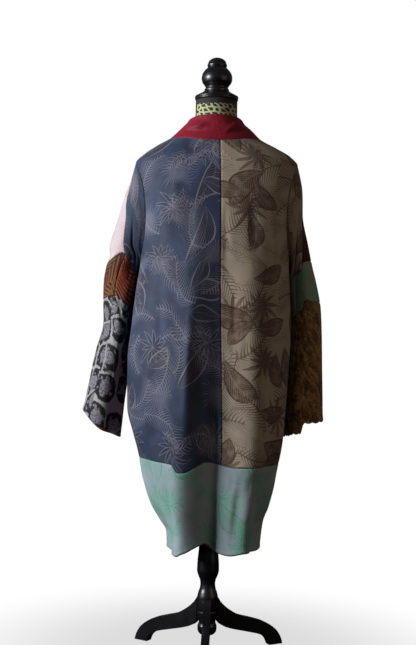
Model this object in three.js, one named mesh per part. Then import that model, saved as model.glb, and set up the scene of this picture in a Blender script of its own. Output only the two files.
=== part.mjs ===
// A kimono-style patchwork coat, worn by a limbless dress form on a turned column with three legs.
// Millimetres, +Z up. The coat's back faces -Y, its wearer's left is -X, and the floor is Z = 0.
// The body of the coat is one surface of level rings, with an angle of 0 at the centre back that grows
// towards +X. Each cloth panel is a stretch of that surface with its own wall.

import * as THREE from 'three';

// ---- driving dimensions ----

const CLOTH = 1.8; // thickness of a single cloth wall
const COLLAR_CLOTH = 3; // the collar is folded double
const SEAM = 0.44; // gap between the edges of two sewn pieces
const ARMHOLE_SEAM = 0.5; // gap between a sleeve and the edge of its armhole
const SLEEVE_CLEAR = { near: 1.5, hanging: 5 }; // least gaps between a sleeve and the body of the coat

const BAND_TOP = 478; // height of the seam above the hem band, before its waves
const ARMPIT = 970;
const SHOULDER = 1217; // height of the top of the armholes
const NECK = 1281; // height of the collar's seam at the sides of the neck
const NECK_DIP = 12; // how much lower that seam is at the centre back
const ARMHOLE_ANGLE = 19; // degrees from the side of the body to the front and back of an armhole

const BACK_COLUMNS = { left: 12, right: 11 };
const FRONT_COLUMNS = 7;
const BODY_ROWS = 8; // from the hem band to the armpit
const ARMHOLE_ROWS = 12;
const SHOULDER_ROWS = 3;
const BAND_ROWS = 5;
const COLLAR_COLUMNS = 3;

const SHOULDER_REST = 0.75; // gap at the shoulders between the form and the cloth that rests on it
const LEG_THICKNESS = 19;
const LEG_ANGLES = { leg_front: -92, leg_right: 27, leg_left: 148 }; // degrees from +X

/** Rows of numbers as objects, with one name for each column. */
function rows(names, values) {
  const columns = names.split(' ');
  return values.map((row) => Object.fromEntries(columns.map((name, i) => [name, row[i]])));
}

// Level rings of the coat: how far each reaches to the sides, the back and the front, and how square it is.
const BODY = rows('height left right back front square', [
  [236, 100, 126, 104, 102, 2.1],
  [300, 103, 131, 107, 105, 2.1],
  [335, 123, 136, 110, 108, 2.1],
  [372, 144, 149, 113, 111, 2.2],
  [430, 163, 164, 117, 114, 2.2],
  [486, 177, 171, 121, 117, 2.3],
  [545, 194, 179, 125, 120, 2.3],
  [610, 210, 184, 128, 123, 2.3],
  [730, 213, 191, 127, 124, 2.3],
  [820, 203, 195, 124, 122, 2.3],
  [900, 193, 192, 121, 120, 2.4],
  [970, 184, 188, 119, 119, 2.5],
  [1042, 181, 190, 117, 118, 2.6],
  [1107, 184, 194, 114, 113, 2.6],
  [1160, 190, 200, 109, 105, 2.5],
  [1217, 199, 206, 98, 92, 2.3],
  [1240, 179, 187, 91, 85, 2.2],
  [1260, 151, 152, 83, 78, 2.1],
  [1281, 115, 113, 73, 69, 2],
  [1303, 91, 90, 65, 62, 2],
  [1322, 72, 69, 59, 58, 2],
  [1345, 57, 57, 57, 57, 2],
]);

// Folds of the coat's body: the place of each at its top and bottom as degrees round from the centre back,
// its half-width in degrees, and how far it stands out (+) or in (-) at its top and bottom.
const FOLDS = rows('topHeight topAngle bottomAngle halfWidth top bottom', [
  [1110, -20, -35, 13, 4, 17],
  [1060, 14, 9, 20, -4, -46],
  [1090, 38, 47, 13, 4, 17],
  [980, 60, 62, 9, -2, -9],
  [1020, -66, -72, 12, -4, -12],
  [900, 78, 72, 11, 2, 9],
  [1080, 118, 124, 15, -3, -12],
  [1120, 141, 146, 11, 2, 10],
  [1080, -118, -122, 15, -3, -13],
  [1120, -143, -145, 11, 2, 10],
]);

// The height of the hem, and of the seam above the hem band, round the coat.
const HEM = rows('angle hem band', [
  [-180, 262, 480],
  [-90, 272, 486],
  [-56, 262, 484],
  [-38, 263, 483],
  [-30, 266, 472],
  [-17, 279, 474],
  [-5, 287, 487],
  [13, 268, 481],
  [31, 260, 474],
  [45, 267, 475],
  [65, 266, 476],
  [90, 276, 481],
  [180, 262, 480],
]);

// The collar past the shoulder: where its seam and its free edge lie on the body's surface.
const COLLAR = rows('seamHeight seamAngle freeHeight freeAngle', [
  [236, 152, 236, 175.5],
  [478, 154, 478, 175.5],
  [970, 156, 970, 176],
  [1040, 154.5, 1044, 175.5],
  [1100, 152, 1112, 173.5],
  [1150, 147, 1176, 169],
  [1190, 140, 1228, 162],
  [1217, 132, 1260, 153],
  [1240, 123, 1287, 140],
  [1262, 111, 1308, 122],
  [1281, 98, 1323, 104],
]);
const COLLAR_BACK = rows('angle height', [
  [0, 1336],
  [50, 1333],
  [90, 1327],
]);

// The centre-back seam leans to the right of the middle on its way down.
const CENTRE_SEAM = rows('height x', [
  [236, 40],
  [505, 36],
  [880, 20],
  [1281, 10],
  [1345, -6],
]);

// Rings of the sleeves, from the armhole to the cuff: the outer and inner end of each as seen from behind,
// how far forward its middle is, its half-depth, and how far the top seam is turned towards the back.
const SLEEVE_COLUMNS = 'along outer outerHeight inner innerHeight ahead depth turn';
const SLEEVE_RINGS = {
  left: rows(SLEEVE_COLUMNS, [
    [0, 199, 1217, 184, 970, 0, 57, 0],
    [0.1, 216, 1160, 188, 962, 8, 60, 50],
    [0.2, 234, 1100, 187, 956, 20, 66, 72],
    [0.3, 254, 1037, 186, 950, 32, 72, 86],
    [0.4, 271, 967, 186, 943, 42, 76, 83],
    [0.48, 275, 918, 188, 900, 48, 77, 73],
    [0.55, 274, 874, 191, 857, 52, 76, 64],
    [0.64, 268, 818, 196, 795, 55, 72, 60],
    [0.75, 284, 757, 205, 718, 58, 64, 60],
    [0.88, 304, 680, 214, 632, 60, 55, 58],
    [1, 322, 612, 223, 542, 60, 46, 56],
  ]),
  right: rows(SLEEVE_COLUMNS, [
    [0, 206, 1217, 188, 970, 0, 57, 0],
    [0.1, 219, 1157, 191, 964, 8, 60, 24],
    [0.2, 223, 1090, 190, 957, 20, 66, 50],
    [0.3, 236, 1025, 188, 945, 32, 71, 74],
    [0.4, 250, 962, 187, 935, 44, 74, 90],
    [0.48, 263, 906, 187, 880, 52, 75, 96],
    [0.55, 267, 862, 188, 838, 56, 74, 98],
    [0.64, 270, 808, 189, 782, 60, 71, 98],
    [0.75, 273, 735, 186, 704, 62, 66, 98],
    [0.88, 277, 660, 183, 618, 62, 58, 98],
    [1, 281, 587, 180, 547, 60, 50, 98],
  ]),
};

// Where the seams across each sleeve lie along its front and back halves, and how much nearer the shoulder
// they are at the top seam.
const CROSS_SEAMS = {
  left: {
    upper: { front: 0.4, back: 0.4, lift: 0.08 },
    middle: { front: 0.55, back: 0.55, lift: 0.03 },
  },
  right: {
    upper: { front: 0.355, back: 0.4, lift: 0 },
    middle: { front: 0.515, back: 0.55, lift: 0 },
  },
};
const CROSS_SEAM_STEP = 2; // how sharply a seam across steps from one half of the sleeve to the other
const SLEEVE_ROWS = { upper: 8, middle: 3, lower: 7 };
const SLEEVE_LIFT_WIDTH = 0.8; // radians round the sleeve
const SLEEVE_FOLD = { depth: 4, waves: 3, lean: 5 };

// Level rings of the dress form's torso, of a general figure.
const TORSO = rows('height side back front square', [
  [742, 140, 88, 84, 2],
  [752, 150, 95, 91, 2],
  [800, 152, 97, 93, 2],
  [850, 136, 88, 85, 2],
  [905, 119, 77, 77, 2],
  [970, 129, 86, 87, 2],
  [1042, 143, 94, 98, 2.1],
  [1107, 154, 93, 96, 2.2],
  [1160, 166, 88, 87, 2.2],
  [1195, 178, 80, 78, 2.1],
  [1217, 186, 74, 72, 2.1],
  [1240, 173, 70, 67, 2],
  [1260, 147, 66, 63, 2],
  [1281, 104, 61, 57, 2],
  [1303, 75, 56, 53, 2],
  [1322, 58, 53, 52, 2],
  [1345, 52, 52, 52, 2],
  [1377, 52, 52, 52, 2],
]);
const TORSO_COLUMNS = 28;

// Turned pieces: radius against height, from the bottom up.
const FINIAL_PROFILE = rows('height radius', [
  [1400.5, 30],
  [1405, 31],
  [1410, 28],
  [1416, 31],
  [1424, 36.5],
  [1433, 38.5],
  [1443, 37],
  [1452, 32],
  [1459, 25],
  [1463, 23],
  [1467, 24.5],
  [1475, 23],
  [1482, 15],
  [1486, 5],
]);
const CAP_PROFILE = rows('height radius', [
  [1377.4, 50],
  [1380, 53],
  [1385, 54.5],
  [1389, 53],
  [1391, 49],
  [1394, 44],
  [1396, 38],
  [1400, 34],
]);
const COLUMN_PROFILE = rows('height radius', [
  [84.4, 24],
  [100, 26],
  [106, 25.6],
  [112, 26],
  [138, 26],
  [150, 23.5],
  [162, 19.6],
  [172, 18.5],
  [182, 20],
  [193, 24.5],
  [205, 27.5],
  [225, 27],
  [260, 24],
  [330, 21],
  [420, 20],
  [680, 20],
  [722, 22],
  [730, 34],
  [741.7, 36],
]);
const HUB_PROFILE = rows('height radius', [
  [44, 10],
  [47, 18],
  [54, 23],
  [66, 24],
  [76, 21],
  [84, 21],
]);

// Side view of a leg: its upper and lower edge, from the column to the foot.
const LEG_UPPER = rows('reach height', [
  [26.3, 136],
  [36, 122],
  [57, 104],
  [88, 86],
  [126, 74],
  [162, 61],
  [192, 41],
  [208, 20],
  [215, 0],
]);
const LEG_LOWER = rows('reach height', [
  [176, 0],
  [167, 18],
  [146, 31],
  [108, 42],
  [64, 54],
  [40, 64],
  [26.3, 78],
]);
const LEG_STEPS = 14; // points along each edge of a leg
const TURNING_SIDES = 24;

// ---- materials ----

const COLOURS = {
  blue: '#48587a',
  taupe: '#6a5f52',
  crimson: '#84162a',
  plum: '#5a3550',
  slate: '#566070',
  band: '#7d878c',
  pale: '#e8cdc8',
  rust: '#98452a',
  amber: '#b0622e',
  leopard: '#8f8d8c',
  stripe: '#2a1512',
  greenGrey: '#6f8480',
  lace: '#3a2b18',
  orange: '#a85a24',
  mustard: '#9a7a34',
  wood: '#0c0a0b',
};

function clothOf(colour) {
  return new THREE.MeshStandardMaterial({ color: COLOURS[colour], roughness: 0.75, metalness: 0 });
}

function paintedWood() {
  return new THREE.MeshStandardMaterial({ color: COLOURS.wood, roughness: 0.35, metalness: 0 });
}

function formCloth() {
  return new THREE.MeshStandardMaterial({ color: COLOURS.wood, roughness: 0.9, metalness: 0 });
}

// ---- smooth tables ----

/** The value of a column at `at`, on a curve through the rows that never swings past them. */
function follow(table, key, column, at) {
  const last = table.length - 1;
  const x = THREE.MathUtils.clamp(at, table[0][key], table[last][key]);
  let i = 0;
  while (i < last - 1 && x > table[i + 1][key]) i += 1;
  const slope = (a) => (table[a + 1][column] - table[a][column]) / (table[a + 1][key] - table[a][key]);
  const meet = (a, b) => (a * b > 0 ? (2 * a * b) / (a + b) : 0);
  const here = slope(i);
  const start = i > 0 ? meet(slope(i - 1), here) : here;
  const end = i < last - 1 ? meet(here, slope(i + 1)) : here;
  const span = table[i + 1][key] - table[i][key];
  const t = (x - table[i][key]) / span;
  const rise = table[i + 1][column] - table[i][column];
  const curve = t * t * (3 - 2 * t);
  const bend = t * (1 - t) * (1 - t) * start - t * t * (1 - t) * end;
  return table[i][column] + rise * curve + span * bend;
}

/** All columns of a table at `at`. */
function sectionAt(table, key, at) {
  const section = {};
  for (const column of Object.keys(table[0])) section[column] = follow(table, key, column, at);
  return section;
}

const degrees = THREE.MathUtils.degToRad;
const mix = THREE.MathUtils.lerp;

function smooth(t) {
  return THREE.MathUtils.smoothstep(t, 0, 1);
}

// ---- the body's surface ----

/** The distance from the axis to a ring with four reaches, at an angle from the centre back. */
function ringRadius(angle, left, right, back, front, square) {
  const side = Math.sin(angle);
  const ahead = -Math.cos(angle);
  const across = Math.abs(side) / (side < 0 ? left : right);
  const along = Math.abs(ahead) / (ahead < 0 ? back : front);
  return (across ** square + along ** square) ** (-1 / square);
}

/** How far the folds move the cloth out at a place on the body. */
function foldDepth(angle, height) {
  const bottom = HEM[0].hem;
  let depth = 0;
  for (const fold of FOLDS) {
    if (height >= fold.topHeight) continue;
    const down = THREE.MathUtils.clamp((fold.topHeight - height) / (fold.topHeight - bottom), 0, 1);
    const middle = degrees(mix(fold.topAngle, fold.bottomAngle, down));
    const off = (angle - middle) / degrees(fold.halfWidth);
    depth += mix(fold.top, fold.bottom, down ** 1.3) * smooth(down * 6) * Math.exp(-off * off);
  }
  return depth;
}

function bodyRadius(angle, height) {
  const s = sectionAt(BODY, 'height', height);
  const ring = ringRadius(angle, s.left, s.right, s.back, s.front, s.square);
  return ring + foldDepth(angle, height);
}

/** A point of the coat's outer surface. */
function bodyPoint(angle, height) {
  const radius = bodyRadius(angle, height);
  return new THREE.Vector3(radius * Math.sin(angle), -radius * Math.cos(angle), height);
}

/** The direction out of a surface given by two numbers, at one place. */
function outOf(surface, u, v, stepU, stepV, outward) {
  const across = surface(u + stepU, v).sub(surface(u - stepU, v));
  const along = surface(u, v + stepV).sub(surface(u, v - stepV));
  return across.cross(along).normalize().multiplyScalar(outward);
}

function bodySpot(angle, height) {
  return { point: bodyPoint(angle, height), out: outOf(bodyPoint, angle, height, 0.01, 2, 1) };
}

// ---- walls ----

/** A closed wall behind a grid of spots on the cloth's outer surface, drawn in by half a seam. */
function wallOf(grid, thickness) {
  const drawn = drawIn(grid, SEAM / 2);
  const across = drawn.length;
  const along = drawn[0].length;
  const positions = [];
  for (const layer of [0, thickness]) {
    for (const line of drawn) {
      for (const spot of line) {
        const at = spot.point.clone().addScaledVector(spot.out, -layer);
        positions.push(at.x, at.y, at.z);
      }
    }
  }
  const outer = (i, j) => i * along + j;
  const inner = (i, j) => across * along + i * along + j;
  const faces = [];
  const quad = (a, b, c, d) => faces.push(a, b, c, a, c, d);
  for (let i = 0; i < across - 1; i += 1) {
    for (let j = 0; j < along - 1; j += 1) {
      quad(outer(i, j), outer(i + 1, j), outer(i + 1, j + 1), outer(i, j + 1));
      quad(inner(i, j), inner(i, j + 1), inner(i + 1, j + 1), inner(i + 1, j));
    }
    quad(outer(i + 1, 0), outer(i, 0), inner(i, 0), inner(i + 1, 0));
    quad(outer(i + 1, along - 1), inner(i + 1, along - 1), inner(i, along - 1), outer(i, along - 1));
  }
  for (let j = 0; j < along - 1; j += 1) {
    quad(outer(0, j), outer(0, j + 1), inner(0, j + 1), inner(0, j));
    quad(outer(across - 1, j), inner(across - 1, j), inner(across - 1, j + 1), outer(across - 1, j + 1));
  }
  const geometry = new THREE.BufferGeometry();
  geometry.setAttribute('position', new THREE.Float32BufferAttribute(positions, 3));
  geometry.setIndex(facesOut(drawn) ? faces : turned(faces));
  geometry.computeVertexNormals();
  return geometry;
}

/** The grid with each edge moved towards the line beside it. */
function drawIn(grid, by) {
  const drawn = grid.map((line) => line.map((spot) => ({ point: spot.point.clone(), out: spot.out })));
  const lastI = drawn.length - 1;
  const lastJ = drawn[0].length - 1;
  const pull = (spot, from, to, before, after) => {
    const edge = after.point.clone().sub(before.point).normalize();
    const way = to.point.clone().sub(from.point);
    way.addScaledVector(edge, -way.dot(edge)).normalize();
    spot.point.addScaledVector(way, by);
  };
  for (let j = 0; j <= lastJ; j += 1) {
    const before = Math.max(0, j - 1);
    const after = Math.min(lastJ, j + 1);
    pull(drawn[0][j], grid[0][j], grid[1][j], grid[0][before], grid[0][after]);
    pull(drawn[lastI][j], grid[lastI][j], grid[lastI - 1][j], grid[lastI][before], grid[lastI][after]);
  }
  for (let i = 0; i <= lastI; i += 1) {
    const before = Math.max(0, i - 1);
    const after = Math.min(lastI, i + 1);
    pull(drawn[i][0], grid[i][0], grid[i][1], grid[before][0], grid[after][0]);
    pull(drawn[i][lastJ], grid[i][lastJ], grid[i][lastJ - 1], grid[before][lastJ], grid[after][lastJ]);
  }
  return drawn;
}

/** Whether the grid's cells turn with the surface's outward side. */
function facesOut(grid) {
  const i = Math.floor(grid.length / 2) - 1;
  const j = Math.floor(grid[0].length / 2) - 1;
  const across = grid[i + 1][j].point.clone().sub(grid[i][j].point);
  const along = grid[i][j + 1].point.clone().sub(grid[i][j].point);
  return across.cross(along).dot(grid[i][j].out) > 0;
}

function turned(faces) {
  const back = [];
  for (let k = 0; k < faces.length; k += 3) back.push(faces[k], faces[k + 2], faces[k + 1]);
  return back;
}

/** A closed tube's wall, from rings of spots; the last spot of each ring meets its first. */
function tubeWallOf(rings, thickness) {
  const along = rings.length;
  const around = rings[0].length;
  const positions = [];
  for (const layer of [0, thickness]) {
    for (const ring of rings) {
      for (const spot of ring) {
        const at = spot.point.clone().addScaledVector(spot.out, -layer);
        positions.push(at.x, at.y, at.z);
      }
    }
  }
  const outer = (i, j) => i * around + (j % around);
  const inner = (i, j) => along * around + i * around + (j % around);
  const faces = [];
  const quad = (a, b, c, d) => faces.push(a, b, c, a, c, d);
  for (let j = 0; j < around; j += 1) {
    for (let i = 0; i < along - 1; i += 1) {
      quad(outer(i, j), outer(i + 1, j), outer(i + 1, j + 1), outer(i, j + 1));
      quad(inner(i, j), inner(i, j + 1), inner(i + 1, j + 1), inner(i + 1, j));
    }
    quad(outer(0, j), outer(0, j + 1), inner(0, j + 1), inner(0, j));
    quad(outer(along - 1, j + 1), outer(along - 1, j), inner(along - 1, j), inner(along - 1, j + 1));
  }
  const geometry = new THREE.BufferGeometry();
  geometry.setAttribute('position', new THREE.Float32BufferAttribute(positions, 3));
  geometry.setIndex(facesOut(rings) ? faces : turned(faces));
  geometry.computeVertexNormals();
  return geometry;
}

// ---- panels of the body ----

const SIDES = { left: -1, right: 1 };

/** Heights of the rows of a panel, closer together at the top and bottom of the armhole. */
function panelHeights() {
  const heights = [];
  for (let i = 0; i < BODY_ROWS; i += 1) heights.push(mix(BAND_TOP, ARMPIT, i / BODY_ROWS));
  for (let i = 0; i <= ARMHOLE_ROWS; i += 1) heights.push(armholeHeight((Math.PI * (ARMHOLE_ROWS - i)) / ARMHOLE_ROWS));
  for (let i = 1; i <= SHOULDER_ROWS; i += 1) heights.push(mix(SHOULDER, NECK, i / SHOULDER_ROWS));
  return heights;
}

/** The height of a place on the armhole, from 0 at its top round its back to pi at the armpit. */
function armholeHeight(turn) {
  return (SHOULDER + ARMPIT) / 2 + ((SHOULDER - ARMPIT) / 2) * Math.cos(turn);
}

/** How far the armhole's edge is from the side of the body, in radians. */
function armholeCut(height) {
  if (height <= ARMPIT || height >= SHOULDER) return 0;
  const level = (2 * height - SHOULDER - ARMPIT) / (SHOULDER - ARMPIT);
  return degrees(ARMHOLE_ANGLE) * Math.sqrt(1 - level * level);
}

function centreAngle(height) {
  const s = sectionAt(BODY, 'height', height);
  return Math.atan2(follow(CENTRE_SEAM, 'height', 'x', height), s.back);
}

function seamAngle(height) {
  return degrees(follow(COLLAR, 'seamHeight', 'seamAngle', height));
}

function hemHeight(angle) {
  return follow(HEM, 'angle', 'hem', THREE.MathUtils.radToDeg(angle));
}

/** A panel's true height: its first row follows the band's seam, and its last row the collar's. */
function panelHeight(level, angle) {
  const waves = follow(HEM, 'angle', 'band', THREE.MathUtils.radToDeg(angle)) - BAND_TOP;
  const low = Math.max(0, (ARMPIT - level) / (ARMPIT - BAND_TOP));
  const high = Math.max(0, (level - SHOULDER) / (NECK - SHOULDER));
  return level + waves * low ** 2 - NECK_DIP * high * Math.cos(angle) ** 2;
}

function backAngle(side, level, share) {
  const edge = SIDES[side] * (Math.PI / 2 - armholeCut(level));
  return mix(centreAngle(level), edge, share);
}

function frontAngle(side, level, share) {
  return SIDES[side] * mix(Math.PI / 2 + armholeCut(level), seamAngle(level), share);
}

/** A front or back panel, from the hem band to the collar. */
function bodyPanel(columns, angleAt) {
  const grid = [];
  for (let i = 0; i <= columns; i += 1) {
    grid.push(
      panelHeights().map((level) => {
        const angle = angleAt(level, i / columns);
        return bodySpot(angle, panelHeight(level, angle));
      }),
    );
  }
  return wallOf(grid, CLOTH);
}

/** The angles of the columns of a hem band, which match those of the panels above it. */
function bandAngles(pieces) {
  const angles = [];
  for (const [columns, angleAt] of pieces) {
    for (let i = angles.length ? 1 : 0; i <= columns; i += 1) angles.push(angleAt(i / columns));
  }
  return angles;
}

function hemBand(angles) {
  const grid = angles.map((angle) => {
    const top = panelHeight(BAND_TOP, angle);
    const line = [];
    for (let j = 0; j <= BAND_ROWS; j += 1) line.push(bodySpot(angle, mix(hemHeight(angle), top, j / BAND_ROWS)));
    return line;
  });
  return wallOf(grid, CLOTH);
}

function backBandAngles() {
  return bandAngles([
    [BACK_COLUMNS.left, (share) => backAngle('left', BAND_TOP, 1 - share)],
    [BACK_COLUMNS.right, (share) => backAngle('right', BAND_TOP, share)],
  ]);
}

function frontBandAngles(side) {
  return bandAngles([[FRONT_COLUMNS, (share) => frontAngle(side, BAND_TOP, share)]]);
}

const HEM_FACING = { height: 22, below: 2.5, inset: CLOTH + 0.45 };

/** The turned-in facing of the back hem, which shows just below the band's edge. */
function hemFacing() {
  const grid = backBandAngles()
    .slice(1, -1)
    .map((angle) => {
      const line = [];
      for (let j = 0; j <= 1; j += 1) {
        const spot = bodySpot(angle, hemHeight(angle) - HEM_FACING.below + j * HEM_FACING.height);
        spot.point.addScaledVector(spot.out, -HEM_FACING.inset);
        line.push(spot);
      }
      return line;
    });
  return wallOf(grid, CLOTH);
}

// ---- collar ----

/** The collar's lines across, from the centre back over the shoulder and down the front edge. */
function collarLines(side) {
  const lines = [];
  const columns = BACK_COLUMNS[side];
  for (let i = 0; i <= columns; i += 1) {
    const seam = backAngle(side, NECK, i / columns);
    const free = mix(centreAngle(COLLAR_BACK[0].height), (SIDES[side] * Math.PI) / 2, i / columns);
    const top = follow(COLLAR_BACK, 'angle', 'height', Math.abs(THREE.MathUtils.radToDeg(free)));
    lines.push({ seam, seamHeight: panelHeight(NECK, seam), free, freeHeight: top });
  }
  const bandRows = [];
  for (let j = 1; j <= BAND_ROWS; j += 1) bandRows.push(1 - j / BAND_ROWS);
  for (const level of panelHeights().reverse()) {
    const seam = SIDES[side] * seamAngle(level);
    const free = SIDES[side] * degrees(follow(COLLAR, 'seamHeight', 'freeAngle', level));
    const freeHeight = follow(COLLAR, 'seamHeight', 'freeHeight', level);
    lines.push({ seam, seamHeight: panelHeight(level, seam), free, freeHeight });
  }
  const foot = lines[lines.length - 1];
  for (const share of bandRows) {
    const seamHeight = mix(hemHeight(foot.seam), foot.seamHeight, share);
    const freeHeight = mix(hemHeight(foot.free), foot.freeHeight, share);
    lines.push({ seam: foot.seam, seamHeight, free: foot.free, freeHeight });
  }
  return lines;
}

function collarHalf(side) {
  const grid = collarLines(side).map((line) => {
    const spots = [];
    for (let j = 0; j <= COLLAR_COLUMNS; j += 1) {
      const share = j / COLLAR_COLUMNS;
      spots.push(bodySpot(mix(line.seam, line.free, share), mix(line.seamHeight, line.freeHeight, share)));
    }
    return spots;
  });
  return wallOf(grid, COLLAR_CLOTH);
}

// ---- sleeves ----

/** A point on a sleeve's ring; `around` is 0 at the top seam and grows round the back. */
function ringPoint(side, around, along) {
  const ring = sectionAt(SLEEVE_RINGS[side], 'along', along);
  const outer = new THREE.Vector3(SIDES[side] * ring.outer, 0, ring.outerHeight);
  const inner = new THREE.Vector3(SIDES[side] * ring.inner, 0, ring.innerHeight);
  const turn = around + degrees(ring.turn) * (0.6 + 0.4 * Math.cos(around));
  const point = outer.clone().add(inner).multiplyScalar(0.5);
  point.addScaledVector(outer.sub(inner), Math.cos(turn) / 2);
  point.y = ring.ahead - ring.depth * Math.sin(turn);
  return point;
}

function armholePoint(side, around) {
  const height = armholeHeight(around);
  const cut = degrees(ARMHOLE_ANGLE) * Math.sin(around);
  return bodyPoint(SIDES[side] * (Math.PI / 2 - cut), height);
}

const ARMHOLE_BLEND = 0.3; // share of the sleeve over which the armhole's shape fades
const ARMHOLE_CROWD = 1.7; // draws a sleeve's first rows towards the armhole

/** A point of a sleeve's outer surface, kept off the body of the coat. */
function sleevePoint(side, around, along) {
  const fade = Math.max(0, 1 - along / ARMHOLE_BLEND) ** 2;
  const shift = armholePoint(side, around).sub(ringPoint(side, around, 0)).multiplyScalar(fade);
  const point = ringPoint(side, around, along).add(shift);
  const middle = ringPoint(side, around, along).add(ringPoint(side, around + Math.PI, along)).multiplyScalar(0.5);
  const fold = SLEEVE_FOLD.depth * smooth((along - 0.1) * 3);
  const wave = Math.cos(SLEEVE_FOLD.waves * around + SLEEVE_FOLD.lean * along);
  point.addScaledVector(point.clone().sub(middle).normalize(), fold * wave);
  const angle = Math.atan2(point.x, -point.y);
  const near = mix(ARMHOLE_SEAM, SLEEVE_CLEAR.near, smooth(along * 10));
  const clear = mix(near, SLEEVE_CLEAR.hanging, smooth(along * 3 - 0.9));
  const least = bodyRadius(angle, point.z) + clear;
  const radius = Math.hypot(point.x, point.y);
  if (point.z < SHOULDER && radius < least) {
    point.x *= least / radius;
    point.y *= least / radius;
  }
  return point;
}

function sleeveSpot(side, around, along) {
  const surface = (u, v) => sleevePoint(side, u, v);
  const step = 0.004;
  const out = outOf(surface, around, THREE.MathUtils.clamp(along, step, 1 - step), 0.02, step, SIDES[side]);
  const spot = { point: surface(around, along), out };
  if (along === 0) {
    const away = surface(around, 0.01).sub(spot.point).normalize();
    const body = bodySpot(Math.atan2(spot.point.x, -spot.point.y), spot.point.z).out;
    spot.point.addScaledVector(away.add(body).normalize(), ARMHOLE_SEAM);
  }
  return spot;
}

/** How far along the sleeve a seam across it lies, at a place round the sleeve. */
function crossSeam(side, name, around) {
  const seam = CROSS_SEAMS[side][name];
  const off = Math.min(around, 2 * Math.PI - around) / SLEEVE_LIFT_WIDTH;
  const half = smooth(0.5 + CROSS_SEAM_STEP * Math.sin(around));
  return mix(seam.front, seam.back, half) - seam.lift * Math.exp(-off * off);
}

/** Half of a stretch of sleeve: the back half lies from 0 to pi, the front half from pi to 2 pi. */
function sleeveHalf(side, start, from, to, count) {
  const grid = [];
  for (let i = 0; i <= ARMHOLE_ROWS; i += 1) {
    const around = start + (Math.PI * i) / ARMHOLE_ROWS;
    const first = from ? crossSeam(side, from, around) : 0;
    const last = crossSeam(side, to, around);
    const line = [];
    const crowd = from ? 1 : ARMHOLE_CROWD;
    for (let j = 0; j <= count; j += 1) {
      line.push(sleeveSpot(side, around, mix(first, last, (j / count) ** crowd)));
    }
    grid.push(line);
  }
  return wallOf(grid, CLOTH);
}

/** Rings of spots round the lower sleeve, from one row to the cuff, drawn in by half a seam at the start. */
function lowerSleeveRings(side, firstRow, inset) {
  const rings = [];
  for (let j = firstRow; j <= SLEEVE_ROWS.lower; j += 1) {
    const ring = [];
    for (let i = 0; i < 2 * ARMHOLE_ROWS; i += 1) {
      const around = (Math.PI * i) / ARMHOLE_ROWS;
      const start = crossSeam(side, 'middle', around);
      const along = mix(start, 1, j / SLEEVE_ROWS.lower);
      const spot = sleeveSpot(side, around, along);
      spot.point.addScaledVector(spot.out, -inset);
      ring.push(spot);
    }
    rings.push(ring);
  }
  rings[0].forEach((spot, i) => {
    const way = rings[1][i].point.clone().sub(spot.point);
    spot.point.addScaledVector(way, SEAM / 2 / way.length());
  });
  return rings;
}

const CUFF_FACING_INSET = CLOTH + 0.4;

// ---- dress form and stand ----

function torsoPoint(angle, height) {
  const s = sectionAt(TORSO, 'height', height);
  const form = ringRadius(angle, s.side, s.side, s.back, s.front, s.square);
  const radius = Math.min(form, restRadius(angle, height));
  return new THREE.Vector3(radius * Math.sin(angle), -radius * Math.cos(angle), height);
}

/** The farthest that the form may reach under the cloth that rests on its shoulders. */
function restRadius(angle, height) {
  if (height > COLLAR_BACK[0].height || height < SHOULDER - 20) return Infinity;
  const spot = bodySpot(angle, height);
  const level = Math.hypot(spot.out.x, spot.out.y);
  const underCollar = height > NECK - NECK_DIP || Math.cos(angle) < 0;
  return bodyRadius(angle, height) - ((underCollar ? COLLAR_CLOTH : CLOTH) + SHOULDER_REST) / level;
}

function torso() {
  const heights = TORSO.map((row) => row.height);
  const positions = [];
  for (const height of heights) {
    for (let i = 0; i < TORSO_COLUMNS; i += 1) {
      const at = torsoPoint((2 * Math.PI * i) / TORSO_COLUMNS, height);
      positions.push(at.x, at.y, at.z);
    }
  }
  positions.push(0, 0, heights[0], 0, 0, heights[heights.length - 1]);
  const at = (j, i) => j * TORSO_COLUMNS + (i % TORSO_COLUMNS);
  const bottom = heights.length * TORSO_COLUMNS;
  const faces = [];
  for (let i = 0; i < TORSO_COLUMNS; i += 1) {
    for (let j = 0; j < heights.length - 1; j += 1) {
      faces.push(at(j, i), at(j, i + 1), at(j + 1, i + 1), at(j, i), at(j + 1, i + 1), at(j + 1, i));
    }
    faces.push(bottom, at(0, i + 1), at(0, i));
    faces.push(bottom + 1, at(heights.length - 1, i), at(heights.length - 1, i + 1));
  }
  const geometry = new THREE.BufferGeometry();
  geometry.setAttribute('position', new THREE.Float32BufferAttribute(positions, 3));
  geometry.setIndex(faces);
  geometry.computeVertexNormals();
  return geometry;
}

/** A turned piece about the upright axis; a lathe turns about Y, so it is stood up. */
function turnedPiece(profile) {
  const points = profile.map((row) => new THREE.Vector2(row.radius, row.height));
  points.unshift(new THREE.Vector2(0, profile[0].height));
  points.push(new THREE.Vector2(0, profile[profile.length - 1].height));
  return new THREE.LatheGeometry(points, TURNING_SIDES).rotateX(Math.PI / 2);
}

function edgeCurve(edge) {
  return new THREE.SplineCurve(edge.map((row) => new THREE.Vector2(row.reach, row.height)));
}

/** A leg sawn from a plank, lying along its own reach. */
function leg(angle) {
  const outline = [...edgeCurve(LEG_UPPER).getPoints(LEG_STEPS), ...edgeCurve(LEG_LOWER).getPoints(LEG_STEPS)];
  const plank = new THREE.ExtrudeGeometry(new THREE.Shape(outline), { depth: LEG_THICKNESS, bevelEnabled: false });
  plank.rotateX(Math.PI / 2);
  plank.translate(0, LEG_THICKNESS / 2, 0);
  return plank.rotateZ(degrees(angle));
}

// ---- the object ----

const object = new THREE.Group();

function add(name, geometry, material) {
  const mesh = new THREE.Mesh(geometry, material);
  mesh.name = name;
  object.add(mesh);
}

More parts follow.
